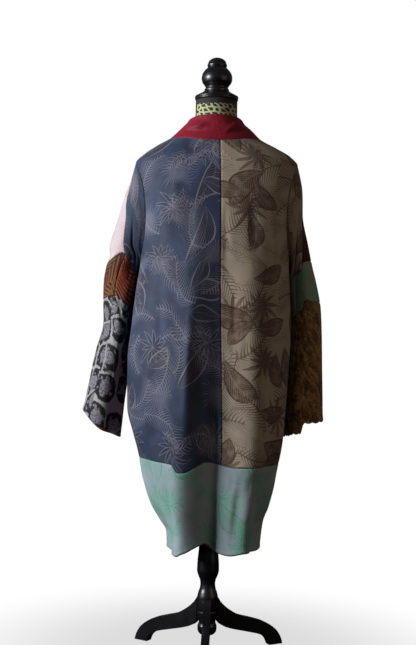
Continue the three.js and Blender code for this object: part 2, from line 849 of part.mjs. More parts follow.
const BACK_CLOTH = { left: 'blue', right: 'taupe' };
const FRONT_CLOTH = { left: 'plum', right: 'slate' };
const SLEEVE_CLOTH = {
  left: { upperBack: 'blue', upperFront: 'pale', middleBack: 'rust', middleFront: 'amber', lower: 'leopard' },
  right: {
    upperBack: 'taupe',
    upperFront: 'stripe',
    middleBack: 'greenGrey',
    middleFront: 'greenGrey',
    lower: 'lace',
  },
};

for (const side of ['left', 'right']) {
  const back = (level, share) => backAngle(side, level, share);
  const front = (level, share) => frontAngle(side, level, share);
  add(`back_${side}`, bodyPanel(BACK_COLUMNS[side], back), clothOf(BACK_CLOTH[side]));
  add(`front_${side}`, bodyPanel(FRONT_COLUMNS, front), clothOf(FRONT_CLOTH[side]));
  add(`front_hem_band_${side}`, hemBand(frontBandAngles(side)), clothOf('band'));
  add(`collar_${side}`, collarHalf(side), clothOf('crimson'));

  const cloth = SLEEVE_CLOTH[side];
  const upperBack = sleeveHalf(side, 0, null, 'upper', SLEEVE_ROWS.upper);
  const upperFront = sleeveHalf(side, Math.PI, null, 'upper', SLEEVE_ROWS.upper);
  const middleBack = sleeveHalf(side, 0, 'upper', 'middle', SLEEVE_ROWS.middle);
  const middleFront = sleeveHalf(side, Math.PI, 'upper', 'middle', SLEEVE_ROWS.middle);
  const lower = tubeWallOf(lowerSleeveRings(side, 0, 0), CLOTH);
  add(`sleeve_${side}_upper_back`, upperBack, clothOf(cloth.upperBack));
  add(`sleeve_${side}_upper_front`, upperFront, clothOf(cloth.upperFront));
  add(`sleeve_${side}_middle_back`, middleBack, clothOf(cloth.middleBack));
  add(`sleeve_${side}_middle_front`, middleFront, clothOf(cloth.middleFront));
  add(`sleeve_${side}_lower`, lower, clothOf(cloth.lower));
}
add('back_hem_band', hemBand(backBandAngles()), clothOf('band'));
add('hem_facing', hemFacing(), clothOf('mustard'));
const cuffFacing = lowerSleeveRings('left', SLEEVE_ROWS.lower - 1, CUFF_FACING_INSET);
add('sleeve_left_cuff_facing', tubeWallOf(cuffFacing, CLOTH), clothOf('orange'));

add('form_torso', torso(), formCloth());
add('neck_cap', turnedPiece(CAP_PROFILE), paintedWood());
add('finial', turnedPiece(FINIAL_PROFILE), paintedWood());
add('column', turnedPiece(COLUMN_PROFILE), paintedWood());
add('hub', turnedPiece(HUB_PROFILE), paintedWood());
for (const [name, angle] of Object.entries(LEG_ANGLES)) add(name, leg(angle), paintedWood());

// The origin is on the floor, in the middle of the object's box.
const middle = new THREE.Box3().setFromObject(object).getCenter(new THREE.Vector3());
for (const mesh of object.children) mesh.position.set(-middle.x, -middle.y, 0);

export default object;
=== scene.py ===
import math

import bmesh
import bpy
import numpy as np
from bpy.props import FloatProperty, FloatVectorProperty, PointerProperty
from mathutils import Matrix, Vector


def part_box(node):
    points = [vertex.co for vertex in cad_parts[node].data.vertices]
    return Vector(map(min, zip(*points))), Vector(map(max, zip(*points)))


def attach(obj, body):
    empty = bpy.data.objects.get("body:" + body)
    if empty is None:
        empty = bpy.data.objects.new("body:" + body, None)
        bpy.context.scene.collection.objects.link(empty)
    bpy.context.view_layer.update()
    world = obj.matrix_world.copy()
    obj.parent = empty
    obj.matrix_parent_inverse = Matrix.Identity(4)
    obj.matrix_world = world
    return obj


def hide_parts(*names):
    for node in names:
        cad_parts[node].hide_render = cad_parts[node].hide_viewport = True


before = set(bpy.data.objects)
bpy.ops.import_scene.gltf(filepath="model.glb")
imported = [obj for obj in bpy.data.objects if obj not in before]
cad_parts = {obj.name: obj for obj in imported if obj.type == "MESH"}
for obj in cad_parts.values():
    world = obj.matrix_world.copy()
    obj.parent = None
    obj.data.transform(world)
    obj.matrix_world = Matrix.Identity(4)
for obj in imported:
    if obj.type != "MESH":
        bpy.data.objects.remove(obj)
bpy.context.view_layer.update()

bl_info = {
    "name": "Patchwork kimono coat",
    "version": (1, 0, 0),
    "blender": (4, 5, 0),
    "location": "View3D > Sidebar > Coat",
    "description": "Sews a patchwork kimono-style coat on a dress form with a turned stand",
    "category": "Object",
}

# The tables are in millimetres and degrees, with the column's axis at X = Y = 0. The coat's back faces -Y
# and its wearer's left is -X. An angle round the body is 0 at the centre back and grows towards +X.

MM = 0.001
COLUMN_LOW, COLUMN_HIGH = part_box("column")
AXIS = np.array([(COLUMN_LOW.x + COLUMN_HIGH.x) / 2, (COLUMN_LOW.y + COLUMN_HIGH.y) / 2, 0])
SIDES = {"left": -1.0, "right": 1.0}

BAND_TOP = 478  # the seam above the hem band, before its waves
ARMPIT = 970
SHOULDER = 1217  # the top of the armholes
NECK = 1281  # the collar's seam at the sides of the neck
NECK_DIP = 12
ARMHOLE_ANGLE = 19
SLEEVE_CLEAR = {"armhole": 0.5, "near": 1.5, "hanging": 5}  # least gap between a sleeve and the body
CREASE_ARM = 140  # radius at which a crease's degrees are turned into millimetres


def rows(names, *values):
    """A table as one array for each named column."""
    return dict(zip(names.split(), np.array(values, float).T))


# Level rings of the coat: how far each reaches to the sides, the back and the front, and how square it is.
BODY = rows(
    "height left right back front square",
    (236, 100, 126, 104, 102, 2.1),
    (300, 103, 131, 107, 105, 2.1),
    (335, 123, 136, 110, 108, 2.1),
    (372, 144, 149, 113, 111, 2.2),
    (430, 163, 164, 117, 114, 2.2),
    (486, 177, 171, 121, 117, 2.3),
    (545, 194, 179, 125, 120, 2.3),
    (610, 210, 184, 128, 123, 2.3),
    (730, 213, 191, 127, 124, 2.3),
    (820, 203, 195, 124, 122, 2.3),
    (900, 193, 192, 121, 120, 2.4),
    (970, 184, 188, 119, 119, 2.5),
    (1042, 181, 190, 117, 118, 2.6),
    (1107, 184, 194, 114, 113, 2.6),
    (1160, 190, 200, 109, 105, 2.5),
    (1217, 199, 206, 98, 92, 2.3),
    (1240, 179, 187, 91, 85, 2.2),
    (1260, 151, 152, 83, 78, 2.1),
    (1281, 115, 113, 73, 69, 2),
    (1303, 91, 90, 65, 62, 2),
    (1322, 72, 69, 59, 58, 2),
    (1345, 57, 57, 57, 57, 2),
)

# Main folds: where each lies at its top and bottom, its half-width, and how far it stands out or in.
FOLDS = rows(
    "top_height top_angle bottom_angle half_width top bottom",
    (1110, -20, -35, 13, 4, 17),
    (1060, 14, 9, 20, -4, -46),
    (1090, 38, 47, 13, 4, 17),
    (980, 60, 62, 9, -2, -9),
    (1020, -66, -72, 12, -4, -12),
    (900, 78, 72, 11, 2, 9),
    (1080, 118, 124, 15, -3, -12),
    (1120, 141, 146, 11, 2, 10),
    (1080, -118, -122, 15, -3, -13),
    (1120, -143, -145, 11, 2, 10),
)

# Smaller creases, each from one place on the body to another: its half-width and how far out or in it goes.
CREASES = rows(
    "angle height to_angle to_height half_width depth",
    (-62, 1165, -52, 985, 10, -3.5),
    (-46, 1190, -38, 1060, 13, 2.5),
    (-30, 1150, -24, 960, 12, -2.5),
    (-54, 930, -49, 700, 9, -3.5),
    (-60, 800, -62, 610, 11, 3),
    (-50, 640, -58, 500, 14, -5),
    (-22, 900, -25, 500, 10, 6),
    (-13, 800, -12, 500, 12, -3),
    (-60, 1298, -20, 1312, 5, 8),
    (-52, 1287, -16, 1298, 4, -4),
    (14, 1288, 58, 1324, 5, 5),
    (30, 1286, 66, 1306, 4, -2.5),
    (6, 640, 7, 500, 8, -2.5),
    (12, 1120, 15, 930, 11, -2.2),
    (24, 900, 26, 760, 8, -3.5),
    (33, 870, 35, 690, 7, -2),
    (40, 1140, 43, 980, 11, -3),
    (49, 820, 50, 560, 8, -5),
    (58, 1100, 62, 900, 10, 2.5),
    (62, 760, 58, 520, 12, -4),
    (29, 462, 30, 402, 4, -2.8),
    (36, 468, 36, 264, 9, -8),
    (43, 460, 42, 395, 4, -2.5),
    (49, 466, 49, 420, 4, -2),
    (-46, 440, -38, 300, 10, -3),
    (-66, 470, -60, 330, 12, -4),
    (60, 450, 58, 300, 11, 3.5),
    (-88, 860, -92, 610, 12, -4),
    (88, 880, 93, 640, 11, -3.5),
    (104, 1050, 110, 820, 10, 3),
    (132, 960, 130, 640, 9, -3.5),
    (150, 820, 152, 560, 8, 2.5),
    (-106, 1020, -112, 800, 10, 3),
    (-131, 940, -128, 620, 9, -3),
    (-152, 860, -154, 540, 8, 2.5),
    (116, 450, 120, 290, 9, -4),
    (-118, 455, -122, 300, 9, -4),
    (-62, 1292, -38, 1302, 7, -5),
    (-70, 1306, -34, 1316, 6, 3.5),
    (20, 1286, 48, 1312, 7, -2.5),
    (52, 1284, 66, 1302, 6, 2),
    (-18, 1284, -8, 1318, 6, -1.5),
    (130, 1240, 112, 1290, 7, -2),
    (-134, 1236, -114, 1288, 7, -2),
)

FOLD_GROWTH = 1.3  # how late a fold takes on its depth at the bottom
FOLD_ONSET = 6  # how fast a fold sets in at its top

# The hem's height and the height of the seam above its band, round the body.
HEM = rows(
    "angle hem band",
    (-180, 262, 480),
    (-90, 263, 486),
    (-56, 255, 484),
    (-38, 258, 481),
    (-32, 264, 462),
    (-27, 268, 462),
    (-17, 279, 474),
    (-5, 287, 487),
    (13, 268, 481),
    (31, 260, 474),
    (45, 267, 475),
    (65, 266, 476),
    (90, 276, 481),
    (180, 262, 480),
)

# The collar past the shoulder: where its seam and its free edge lie on the body.
COLLAR = rows(
    "seam_height seam_angle free_height free_angle",
    (236, 152, 236, 175.5),
    (478, 154, 478, 175.5),
    (970, 156, 970, 176),
    (1040, 154.5, 1044, 175.5),
    (1100, 152, 1112, 173.5),
    (1150, 147, 1176, 169),
    (1190, 140, 1228, 162),
    (1217, 132, 1260, 153),
    (1240, 123, 1287, 140),
    (1262, 111, 1308, 122),
    (1281, 98, 1323, 104),
)
COLLAR_BACK = rows("angle height", (0, 1336), (50, 1333), (90, 1327))
CENTRE_SEAM = rows("height x", (236, 40), (505, 36), (880, 20), (1281, 10), (1345, -6))

# Rings of the sleeves from the armhole to the cuff: their outer and inner end as seen from behind, how far
# forward the middle is, the half-depth, and how far the top seam is turned towards the back.
SLEEVE_COLUMNS = "along outer outer_height inner inner_height ahead depth turn"
SLEEVE_RINGS = {
    "left": rows(
        SLEEVE_COLUMNS,
        (0, 199, 1217, 184, 970, 0, 57, 0),
        (0.1, 216, 1160, 188, 962, 8, 60, 50),
        (0.2, 234, 1100, 187, 956, 20, 66, 72),
        (0.3, 254, 1037, 186, 950, 32, 72, 86),
        (0.4, 271, 967, 186, 943, 42, 76, 83),
        (0.48, 275, 918, 188, 900, 48, 77, 73),
        (0.55, 274, 874, 191, 857, 52, 76, 64),
        (0.64, 268, 818, 196, 795, 55, 72, 60),
        (0.75, 284, 757, 205, 718, 58, 64, 60),
        (0.88, 304, 680, 214, 632, 60, 55, 58),
        (1, 322, 612, 223, 542, 60, 46, 56),
    ),
    "right": rows(
        SLEEVE_COLUMNS,
        (0, 206, 1217, 188, 970, 0, 57, 0),
        (0.1, 219, 1157, 191, 964, 8, 60, 24),
        (0.2, 223, 1090, 190, 957, 20, 66, 50),
        (0.3, 236, 1025, 188, 945, 32, 71, 74),
        (0.4, 250, 962, 187, 935, 44, 74, 90),
        (0.48, 263, 906, 187, 880, 52, 75, 96),
        (0.55, 267, 862, 188, 838, 56, 74, 98),
        (0.64, 270, 808, 189, 782, 60, 71, 98),
        (0.75, 273, 735, 186, 704, 62, 66, 98),
        (0.88, 277, 660, 183, 618, 62, 58, 98),
        (1, 281, 587, 180, 547, 60, 50, 98),
    ),
}
SLEEVE_LENGTH = 620
SLEEVE_GIRTH = 70  # radius at which a crease's radians round a sleeve are turned into millimetres

# Creases of the sleeves; round a sleeve, 0 is the top seam and the back comes first.
SLEEVE_CREASES = {
    "left": rows(
        "around along to_around to_along half_width depth",
        (0.7, 0.06, 1.1, 0.34, 9, -4),
        (1.3, 0.18, 1.6, 0.4, 8, 3),
        (0.25, 0.24, 0.9, 0.46, 8, -3),
        (5.6, 0.1, 5.9, 0.36, 10, -3),
        (0.2, 0.5, 1.2, 0.62, 9, -4),
        (5.7, 0.56, 6.2, 0.7, 9, -4),
        (0.9, 0.66, 1.4, 0.95, 9, 3),
        (1.9, 0.62, 2.1, 0.98, 10, -4),
        (6.1, 0.72, 6, 0.98, 9, -3),
        (3.6, 0.3, 3.9, 0.7, 12, -4),
        (4.6, 0.45, 4.4, 0.9, 11, -4),
        (2.8, 0.5, 2.9, 0.9, 9, 3),
    ),
    "right": rows(
        "around along to_around to_along half_width depth",
        (0.8, 0.05, 1.2, 0.36, 9, -4),
        (1.5, 0.16, 1.7, 0.42, 9, 3),
        (0.3, 0.3, 0.7, 0.55, 9, -3),
        (5.8, 0.14, 6, 0.4, 9, -3),
        (0.5, 0.6, 1, 0.9, 10, -4),
        (1.6, 0.66, 1.5, 0.97, 9, 3),
        (6, 0.6, 6.1, 0.95, 10, -4),
        (3.7, 0.3, 3.8, 0.75, 12, -4),
        (4.7, 0.4, 4.5, 0.85, 11, -4),
        (2.5, 0.5, 2.6, 0.9, 9, -3),
    ),
}
# Where the seams across each sleeve lie along its front and back halves, and how much nearer the shoulder
# they are at the top seam.
CROSS_SEAMS = {
    "left": {
        "upper": {"front": 0.4, "back": 0.4, "lift": 0.08},
        "middle": {"front": 0.55, "back": 0.55, "lift": 0.03},
    },
    "right": {
        "upper": {"front": 0.37, "back": 0.408, "lift": 0.026},
        "middle": {"front": 0.522, "back": 0.558, "lift": 0.028},
    },
}
CROSS_SEAM_STEP = 6  # how suddenly a seam steps from the front half to the back half
SLEEVE_LIFT_WIDTH = {"front": 0.55, "back": 1.0}  # how wide that rise is, in radians

# How far a sleeve swings to the right of its pattern at each height.
SLEEVE_SWING = {
    "left": rows(
        "height x",
        (560, -8),
        (805, -8),
        (880, -1),
        (955, 2),
        (985, 6),
        (1015, -2),
        (1075, -3),
        (1120, -7),
        (1200, 0),
    ),
    "right": rows("height x", (600, 5), (860, 5), (925, 0), (1100, 0)),
}
SLEEVE_FOLD = {"depth": 4, "waves": 3, "lean": 5}
SLEEVE_ONSET = {"creases": 8, "clearance": 10}  # how fast these set in from the armhole
ARMHOLE_BLEND = 0.3  # share of a sleeve that blends into the armhole

# The coat's foot swings to the left by x, from the height `below` and in full `over` lower.
FOOT_SWING = {"x": 4.5, "below": 520, "over": 90}

# The left cuff's edge is a little higher at the back, and its cloth hangs past the end of the pattern, most
# of all at its lowest bulge.
CUFF_LIFT = {"height": 7, "around": 1.05, "half_width": 0.42}
CUFF_HANG = {"drop": 11, "from": 0.8, "bulge": 14, "x": -281, "half_width": 32}

# At the right cuff the front half hangs higher than the back half, with a step at the seams, and the edge
# slants down outside of `slant_from`.
CUFF_STEP = {"drop": 12, "from": 0.72, "turn": 5, "slant": 0.3, "slant_from": 210}
SCALLOPS = {"waves": 9, "uneven": 0.6, "uneven_waves": 2.3}

# The form's torso and the turned pieces.
TORSO = rows(
    "height side back front square",
    (742, 140, 88, 84, 2),
    (752, 150, 95, 91, 2),
    (800, 152, 97, 93, 2),
    (850, 136, 88, 85, 2),
    (905, 119, 77, 77, 2),
    (970, 129, 86, 87, 2),
    (1042, 143, 94, 98, 2.1),
    (1107, 154, 93, 96, 2.2),
    (1160, 166, 88, 87, 2.2),
    (1195, 178, 80, 78, 2.1),
    (1217, 186, 74, 72, 2.1),
    (1240, 173, 70, 67, 2),
    (1260, 147, 66, 63, 2),
    (1281, 104, 61, 57, 2),
    (1303, 75, 56, 53, 2),
    (1322, 58, 53, 52, 2),
    (1345, 52, 52, 52, 2),
    (1377, 52, 52, 52, 2),
)
SHOULDER_REST = 0.75  # gap between the form's shoulders and the cloth on them
WALL = {"cloth": 1.8, "collar": 3}  # room that the cloth takes over the form
TURNED = {
    "finial": rows(
        "height radius",
        (1400.5, 30),
        (1405, 31),
        (1410, 28),
        (1416, 31),
        (1424, 36.5),
        (1433, 38.5),
        (1443, 37),
        (1452, 32),
        (1459, 25.5),
        (1462, 23.2),
        (1464, 24.2),
        (1467, 24.8),
        (1470, 23.6),
        (1471.5, 23),
        (1476, 21.5),
        (1482, 15),
        (1485, 8),
        (1486, 3),
    ),
    "neck_cap": rows(
        "height radius",
        (1377.4, 50),
        (1379, 53),
        (1381.5, 54),
        (1384, 53.4),
        (1385, 54.5),
        (1388, 54),
        (1390.4, 50),
        (1393, 45.6),
        (1396, 39.5),
        (1398.4, 36),
        (1400, 34),
    ),
    "column": rows(
        "height radius",
        (84.4, 24),
        (100, 26),
        (103, 25.8),
        (106, 25.2),
        (109, 25.8),
        (112, 26),
        (138, 26),
        (150, 23.5),
        (162, 19.6),
        (172, 18.5),
        (182, 20),
        (193, 24.5),
        (205, 27.5),
        (225, 27),
        (260, 24),
        (330, 21),
        (420, 20),
        (680, 20),
        (722, 22),
        (730, 34),
        (741.7, 36),
    ),
    "hub": rows(
        "height radius",
        (44, 9),
        (45, 14),
        (47, 18),
        (50, 20.8),
        (54, 23),
        (60, 24),
        (66, 24),
        (71, 22.4),
        (76, 21),
        (84, 21),
    ),
}
# The upper and lower edge of a leg: how far out and how high each place of them lies.
LEG_UPPER = (
    (26.3, 136),
    (36, 122),
    (57, 104),
    (88, 86),
    (126, 74),
    (162, 61),
    (192, 41),
    (208, 20),
    (215, 0),
)
LEG_LOWER = ((176, 0), (167, 18), (146, 31), (108, 42), (64, 54), (40, 64), (26.3, 78))
LEG_ANGLES = {"leg_front": -92, "leg_right": 27, "leg_left": 148}
LEG_THICKNESS = 19
LEG_STEPS = 10  # points between two places of a leg's edge
TURNED_SIDES = 72
TURNED_STEPS = 5  # rings between two places of a turned profile


# ---- sizes and colours that a user would change ----


def length_property(name, description, millimetres):
    return FloatProperty(name=name, description=description, default=millimetres * MM, min=0, unit="LENGTH")


def colour_property(name, description, code):
    """A colour, written as on a shade card and kept as the linear values that a shader takes."""
    shares = [int(code[i : i + 2], 16) / 255 for i in (1, 3, 5)]
    values = [s / 12.92 if s <= 0.04045 else ((s + 0.055) / 1.055) ** 2.4 for s in shares]
    return FloatVectorProperty(
        name=name, description=description, default=(*values, 1), size=4, min=0, max=1, subtype="COLOR"
    )


def stage_property(name, description, default, **limits):
    return FloatProperty(name=name, description=description, default=default, **limits)


class CoatSizes(bpy.types.PropertyGroup):
    """Sizes of the sewing."""

    cloth: length_property("Cloth", "Thickness of a single layer of cloth", 1.6)
    collar: length_property("Collar", "Thickness of the doubled collar", 2.6)
    seam_dip: length_property("Seam dip", "How far the cloth turns in at a seam", 1.3)
    hem_roll: length_property("Hem roll", "How much fuller the cloth is at a turned edge", 0.7)
    ripple: length_property("Ripple", "Depth of the finest unevenness of the cloth", 0.7)
    scallop: length_property("Scallop", "Depth of the scallops of the lace cuff", 3.0)


class CoatColours(bpy.types.PropertyGroup):
    """Colours of the cloths."""

    blue: colour_property("Blue", "Slate blue of the left back", "#333f58")
    blue_line: colour_property("Blue print, light", "Pale lines of the blue cloth's print", "#787580")
    blue_leaf: colour_property("Blue print, dark", "Aubergine fills of the blue cloth's print", "#1b1726")
    taupe: colour_property("Taupe", "Taupe of the right back", "#9a8d7c")
    taupe_leaf: colour_property("Taupe print", "Brown of the taupe cloth's print", "#4a3328")
    crimson: colour_property("Crimson", "The collar", "#820d25")
    plum: colour_property("Plum", "The left front", "#6b3a5c")
    slate: colour_property("Slate", "The right front", "#64707f")
    band: colour_property("Band", "Grey of the hem band", "#8d9aa0")
    green: colour_property("Green", "Green of the hem band's leaves", "#2f9e6c")
    pale: colour_property("Pale", "White of the left sleeve's front", "#beb0b4")
    pink: colour_property("Pink", "Pink palms on the pale cloth", "#bd8d8c")
    rust: colour_property("Rust", "Rust of the left sleeve's back", "#9c4427")
    amber: colour_property("Amber", "Amber of the left sleeve's front", "#6f3d1d")
    ochre: colour_property("Ochre", "Ochre that the amber cloth shades into", "#6d5c27")
    ink: colour_property("Ink", "Black leaves on the rust and amber cloths", "#171214")
    leopard: colour_property("Leopard ground", "Light net between the spots", "#969392")
    spot: colour_property("Leopard spot", "Dark of the spots", "#1b181b")
    spot_middle: colour_property("Leopard spot middle", "Mottled grey inside a spot", "#87858e")
    stripe: colour_property("Stripe", "Ground of the striped cloth", "#1a0f0f")
    stripe_red: colour_property("Red stripe", "Stripes of the striped cloth", "#5a1c14")
    grey_green: colour_property("Grey green", "Ground of the right sleeve's middle", "#828a7c")
    lace: colour_property("Lace", "Ground of the lace cuff", "#7a5c3a")
    lace_cord: colour_property("Lace cord", "Raised cord of the lace cuff", "#a07a42")
    # painted highlights: the colour of the bright glints painted into the lace
    gold: colour_property("Gold", "Glints in the lace", "#e0a23c")
    orange: colour_property("Orange", "The left cuff's facing", "#c0662c")
    mustard: colour_property("Mustard", "The hem's facing", "#b58c38")
    inside: colour_property("Inside", "Wrong side of the cloths", "#6d6a70")


class StandFinish(bpy.types.PropertyGroup):
    """Finish of the dress form and its stand."""

    form: colour_property("Form", "Black cloth of the dress form", "#0d0b0d")
    net: colour_property("Net", "Cream net printed on the form's neck", "#a9ad7c")
    wood: colour_property("Wood", "Black paint of the stand", "#0c0b0e")
    leg_round: length_property("Leg rounding", "Rounding of the legs' edges", 2.2)


class StageSettings(bpy.types.PropertyGroup):
    """Camera and lights."""

    distance: stage_property("Distance", "From the camera to the column", 2.8, min=0.5, unit="LENGTH")
    eye: stage_property("Eye height", "Height of the camera", 0.824, unit="LENGTH")
    aside: stage_property("Aside", "Camera's place left of the column", 0.0114, unit="LENGTH")
    roll: stage_property("Roll", "Tilt of the camera", math.radians(1.05), unit="ROTATION")
    lens: stage_property("Lens", "Focal length in millimetres", 62.5, min=10)
    key: stage_property("Key", "Power of the light from the left", 130, min=0, unit="POWER")
    fill: stage_property("Fill", "Power of the light from the right", 8, min=0, unit="POWER")
    sky: stage_property("Sky", "Strength of the light from all round", 0.09, min=0)


# ---- smooth tables ----


def follow(table, key, column, at):
    """A column's value at each place, on a curve through the rows that never swings past them."""
    xs = table[key]
    ys = table[column]
    x = np.clip(at, xs[0], xs[-1])
    i = np.clip(np.searchsorted(xs, x) - 1, 0, len(xs) - 2)
    slopes = np.diff(ys) / np.diff(xs)
    before, after = slopes[:-1], slopes[1:]
    same_way = before * after > 0
    meet = np.where(same_way, 2 * before * after / np.where(same_way, before + after, 1), 0)
    tangents = np.concatenate([slopes[:1], meet, slopes[-1:]])
    span = xs[i + 1] - xs[i]
    t = (x - xs[i]) / span
    rise = (ys[i + 1] - ys[i]) * t * t * (3 - 2 * t)
    bend = t * (1 - t) * (1 - t) * tangents[i] - t * t * (1 - t) * tangents[i + 1]
    return ys[i] + rise + span * bend


def section_at(table, key, at):
    return {column: follow(table, key, column, at) for column in table if column != key}


def mix(a, b, share):
    return a + (b - a) * share


def smooth(t):
    t = np.clip(t, 0, 1)
    return t * t * (3 - 2 * t)


def each_row(table):
    """The rows of a table, one dictionary at a time."""
    return [dict(zip(table, values)) for values in zip(*table.values())]


# ---- the body's surface ----


def ring_radius(angle, ring):
    """The distance from the axis to a ring with four reaches."""
    side = np.sin(angle)
    ahead = -np.cos(angle)
    across = np.abs(side) / np.where(side < 0, ring["left"], ring["right"])
    along = np.abs(ahead) / np.where(ahead < 0, ring["back"], ring["front"])
    return (across ** ring["square"] + along ** ring["square"]) ** (-1 / ring["square"])


def fold_depth(angle, height):
    """How far the main folds move the cloth out; each grows from its top down to the hem."""
    bottom = HEM["hem"][0]
    depth = 0
    for fold in each_row(FOLDS):
        down = np.clip((fold["top_height"] - height) / (fold["top_height"] - bottom), 0, 1)
        middle = np.radians(mix(fold["top_angle"], fold["bottom_angle"], down))
        off = (angle - middle) / math.radians(fold["half_width"])
        strength = mix(fold["top"], fold["bottom"], down**FOLD_GROWTH) * smooth(down * FOLD_ONSET)
        depth = depth + strength * np.exp(-off * off)
    return depth


def faded(share):
    """0 just past a crease's end and 1 well inside it."""
    return smooth(share * 2.2 + 0.1)


def crease_depth(table, names, scale, x, y):
    """How far the creases of a table move the cloth out; each fades towards its two ends."""
    depth = 0
    across, along, to_across, to_along = names
    for crease in each_row(table):
        start = np.array([crease[across], crease[along]]) * scale
        way = np.array([crease[to_across], crease[to_along]]) * scale - start
        reach = (x * scale[0] - start[0]) * way[0] + (y * scale[1] - start[1]) * way[1]
        share = reach / (way @ way)
        off_x = x * scale[0] - start[0] - share * way[0]
        off_y = y * scale[1] - start[1] - share * way[1]
        width = crease["half_width"] * (0.75 + 0.35 * np.clip(share, 0, 1))
        fade = faded(share) * faded(1 - share)
        depth = depth + crease["depth"] * fade * np.exp(-(off_x**2 + off_y**2) / width**2)
    return depth


BODY_CREASE_NAMES = ("angle", "height", "to_angle", "to_height")
BODY_CREASE_SCALE = np.array([math.radians(1) * CREASE_ARM, 1])
SLEEVE_CREASE_NAMES = ("around", "along", "to_around", "to_along")
SLEEVE_CREASE_SCALE = np.array([SLEEVE_GIRTH, SLEEVE_LENGTH])


def body_radius(angle, height):
    ring = ring_radius(angle, section_at(BODY, "height", height))
    creases = crease_depth(CREASES, BODY_CREASE_NAMES, BODY_CREASE_SCALE, np.degrees(angle), height)
    return ring + fold_depth(angle, height) + creases


def level_point(angle, height, radius):
    """Points at a distance from the axis, in millimetres."""
    height = np.broadcast_to(height, np.shape(radius))
    return np.stack([radius * np.sin(angle), -radius * np.cos(angle), height], axis=-1)


def body_point(angle, height):
    """Points of the coat's outer surface."""
    angle, height = np.broadcast_arrays(angle, height)
    point = level_point(angle, height, body_radius(angle, height))
    point[..., 0] -= FOOT_SWING["x"] * smooth((FOOT_SWING["below"] - height) / FOOT_SWING["over"])
    return point


def armhole_height(turn):
    """The height of a point of the armhole, with `turn` 0 at its top and pi at the armpit."""
    return (SHOULDER + ARMPIT) / 2 + (SHOULDER - ARMPIT) / 2 * np.cos(turn)


def armhole_cut(height):
    """How far the armhole's edge lies from the side of the body at a height, in radians."""
    level = np.clip((2 * height - SHOULDER - ARMPIT) / (SHOULDER - ARMPIT), -1, 1)
    return math.radians(ARMHOLE_ANGLE) * np.sqrt(1 - level * level)


def centre_angle(height):
    back = follow(BODY, "height", "back", height)
    return np.arctan2(follow(CENTRE_SEAM, "height", "x", height), back)


def hem_height(angle):
    return follow(HEM, "angle", "hem", np.degrees(angle))


def panel_height(level, angle):
    """A panel's true height: its foot follows the band's seam, and its top the collar's."""
    waves = follow(HEM, "angle", "band", np.degrees(angle)) - BAND_TOP
    low = np.maximum(0, (ARMPIT - level) / (ARMPIT - BAND_TOP))
    high = np.maximum(0, (level - SHOULDER) / (NECK - SHOULDER))
    return level + waves * low**2 - NECK_DIP * high * np.cos(angle) ** 2


def back_angle(side, level, share):
    return mix(centre_angle(level), SIDES[side] * (math.pi / 2 - armhole_cut(level)), share)


def front_angle(side, level, share):
    seam = np.radians(follow(COLLAR, "seam_height", "seam_angle", level))
    return SIDES[side] * mix(math.pi / 2 + armhole_cut(level), seam, share)


# ---- sleeves ----


def ring_point(side, around, along):
    """Points on a sleeve's ring; `around` is 0 at the top seam and grows round the back."""
    ring = section_at(SLEEVE_RINGS[side], "along", along)
    turn = around + np.radians(ring["turn"]) * (0.6 + 0.4 * np.cos(around))
    swing = np.cos(turn) / 2
    outer, inner = ring["outer"], ring["inner"]
    x = SIDES[side] * ((outer + inner) / 2 + (outer - inner) * swing)
    outer, inner = ring["outer_height"], ring["inner_height"]
    z = (outer + inner) / 2 + (outer - inner) * swing
    return np.stack([x, ring["ahead"] - ring["depth"] * np.sin(turn), z], axis=-1)


def armhole_point(side, around):
    cut = math.radians(ARMHOLE_ANGLE) * np.sin(around)
    return body_point(SIDES[side] * (math.pi / 2 - cut), armhole_height(around))


def sleeve_point(side, around, along):
    """Points of a sleeve's outer surface, kept off the body of the coat."""
    around, along = np.broadcast_arrays(around, along)
    fade = np.maximum(0, 1 - along / ARMHOLE_BLEND)[..., None] ** 2
    point = ring_point(side, around, along)
    middle = (point + ring_point(side, around + math.pi, along)) / 2
    point = point + fade * (armhole_point(side, around) - ring_point(side, around, 0 * along))
    away = point - middle
    away = away / np.linalg.norm(away, axis=-1, keepdims=True)
    wave = SLEEVE_FOLD["depth"] * np.cos(SLEEVE_FOLD["waves"] * around + SLEEVE_FOLD["lean"] * along)
    wrapped = np.mod(around, 2 * math.pi)
    creases = crease_depth(SLEEVE_CREASES[side], SLEEVE_CREASE_NAMES, SLEEVE_CREASE_SCALE, wrapped, along)
    hang = smooth((along - 0.1) * 3)
    clear_of_armhole = smooth(along * SLEEVE_ONSET["creases"])
    point = point + away * (hang * wave + clear_of_armhole * creases)[..., None]
    point[..., 0] += clear_of_armhole * follow(SLEEVE_SWING[side], "height", "x", point[..., 2])
    angle = np.arctan2(point[..., 0], -point[..., 1])
    radius = np.hypot(point[..., 0], point[..., 1])
    near = mix(SLEEVE_CLEAR["armhole"], SLEEVE_CLEAR["near"], smooth(along * SLEEVE_ONSET["clearance"]))
    least = body_radius(angle, point[..., 2]) + mix(near, SLEEVE_CLEAR["hanging"], smooth(along * 3 - 0.9))
    pushed = np.where((point[..., 2] < SHOULDER) & (radius < least), least / radius, 1)
    return point * np.stack([pushed, pushed, np.ones_like(pushed)], axis=-1)


def cross_seam(side, name, around):
    """How far along the sleeve a seam across it lies."""
    seam = CROSS_SEAMS[side][name]
    width = np.where(around < math.pi, SLEEVE_LIFT_WIDTH["back"], SLEEVE_LIFT_WIDTH["front"])
    off = np.minimum(around, 2 * math.pi - around) / width
    half = smooth(0.5 + CROSS_SEAM_STEP * np.sin(around))
    return mix(seam["front"], seam["back"], half) - seam["lift"] * np.exp(-off * off)


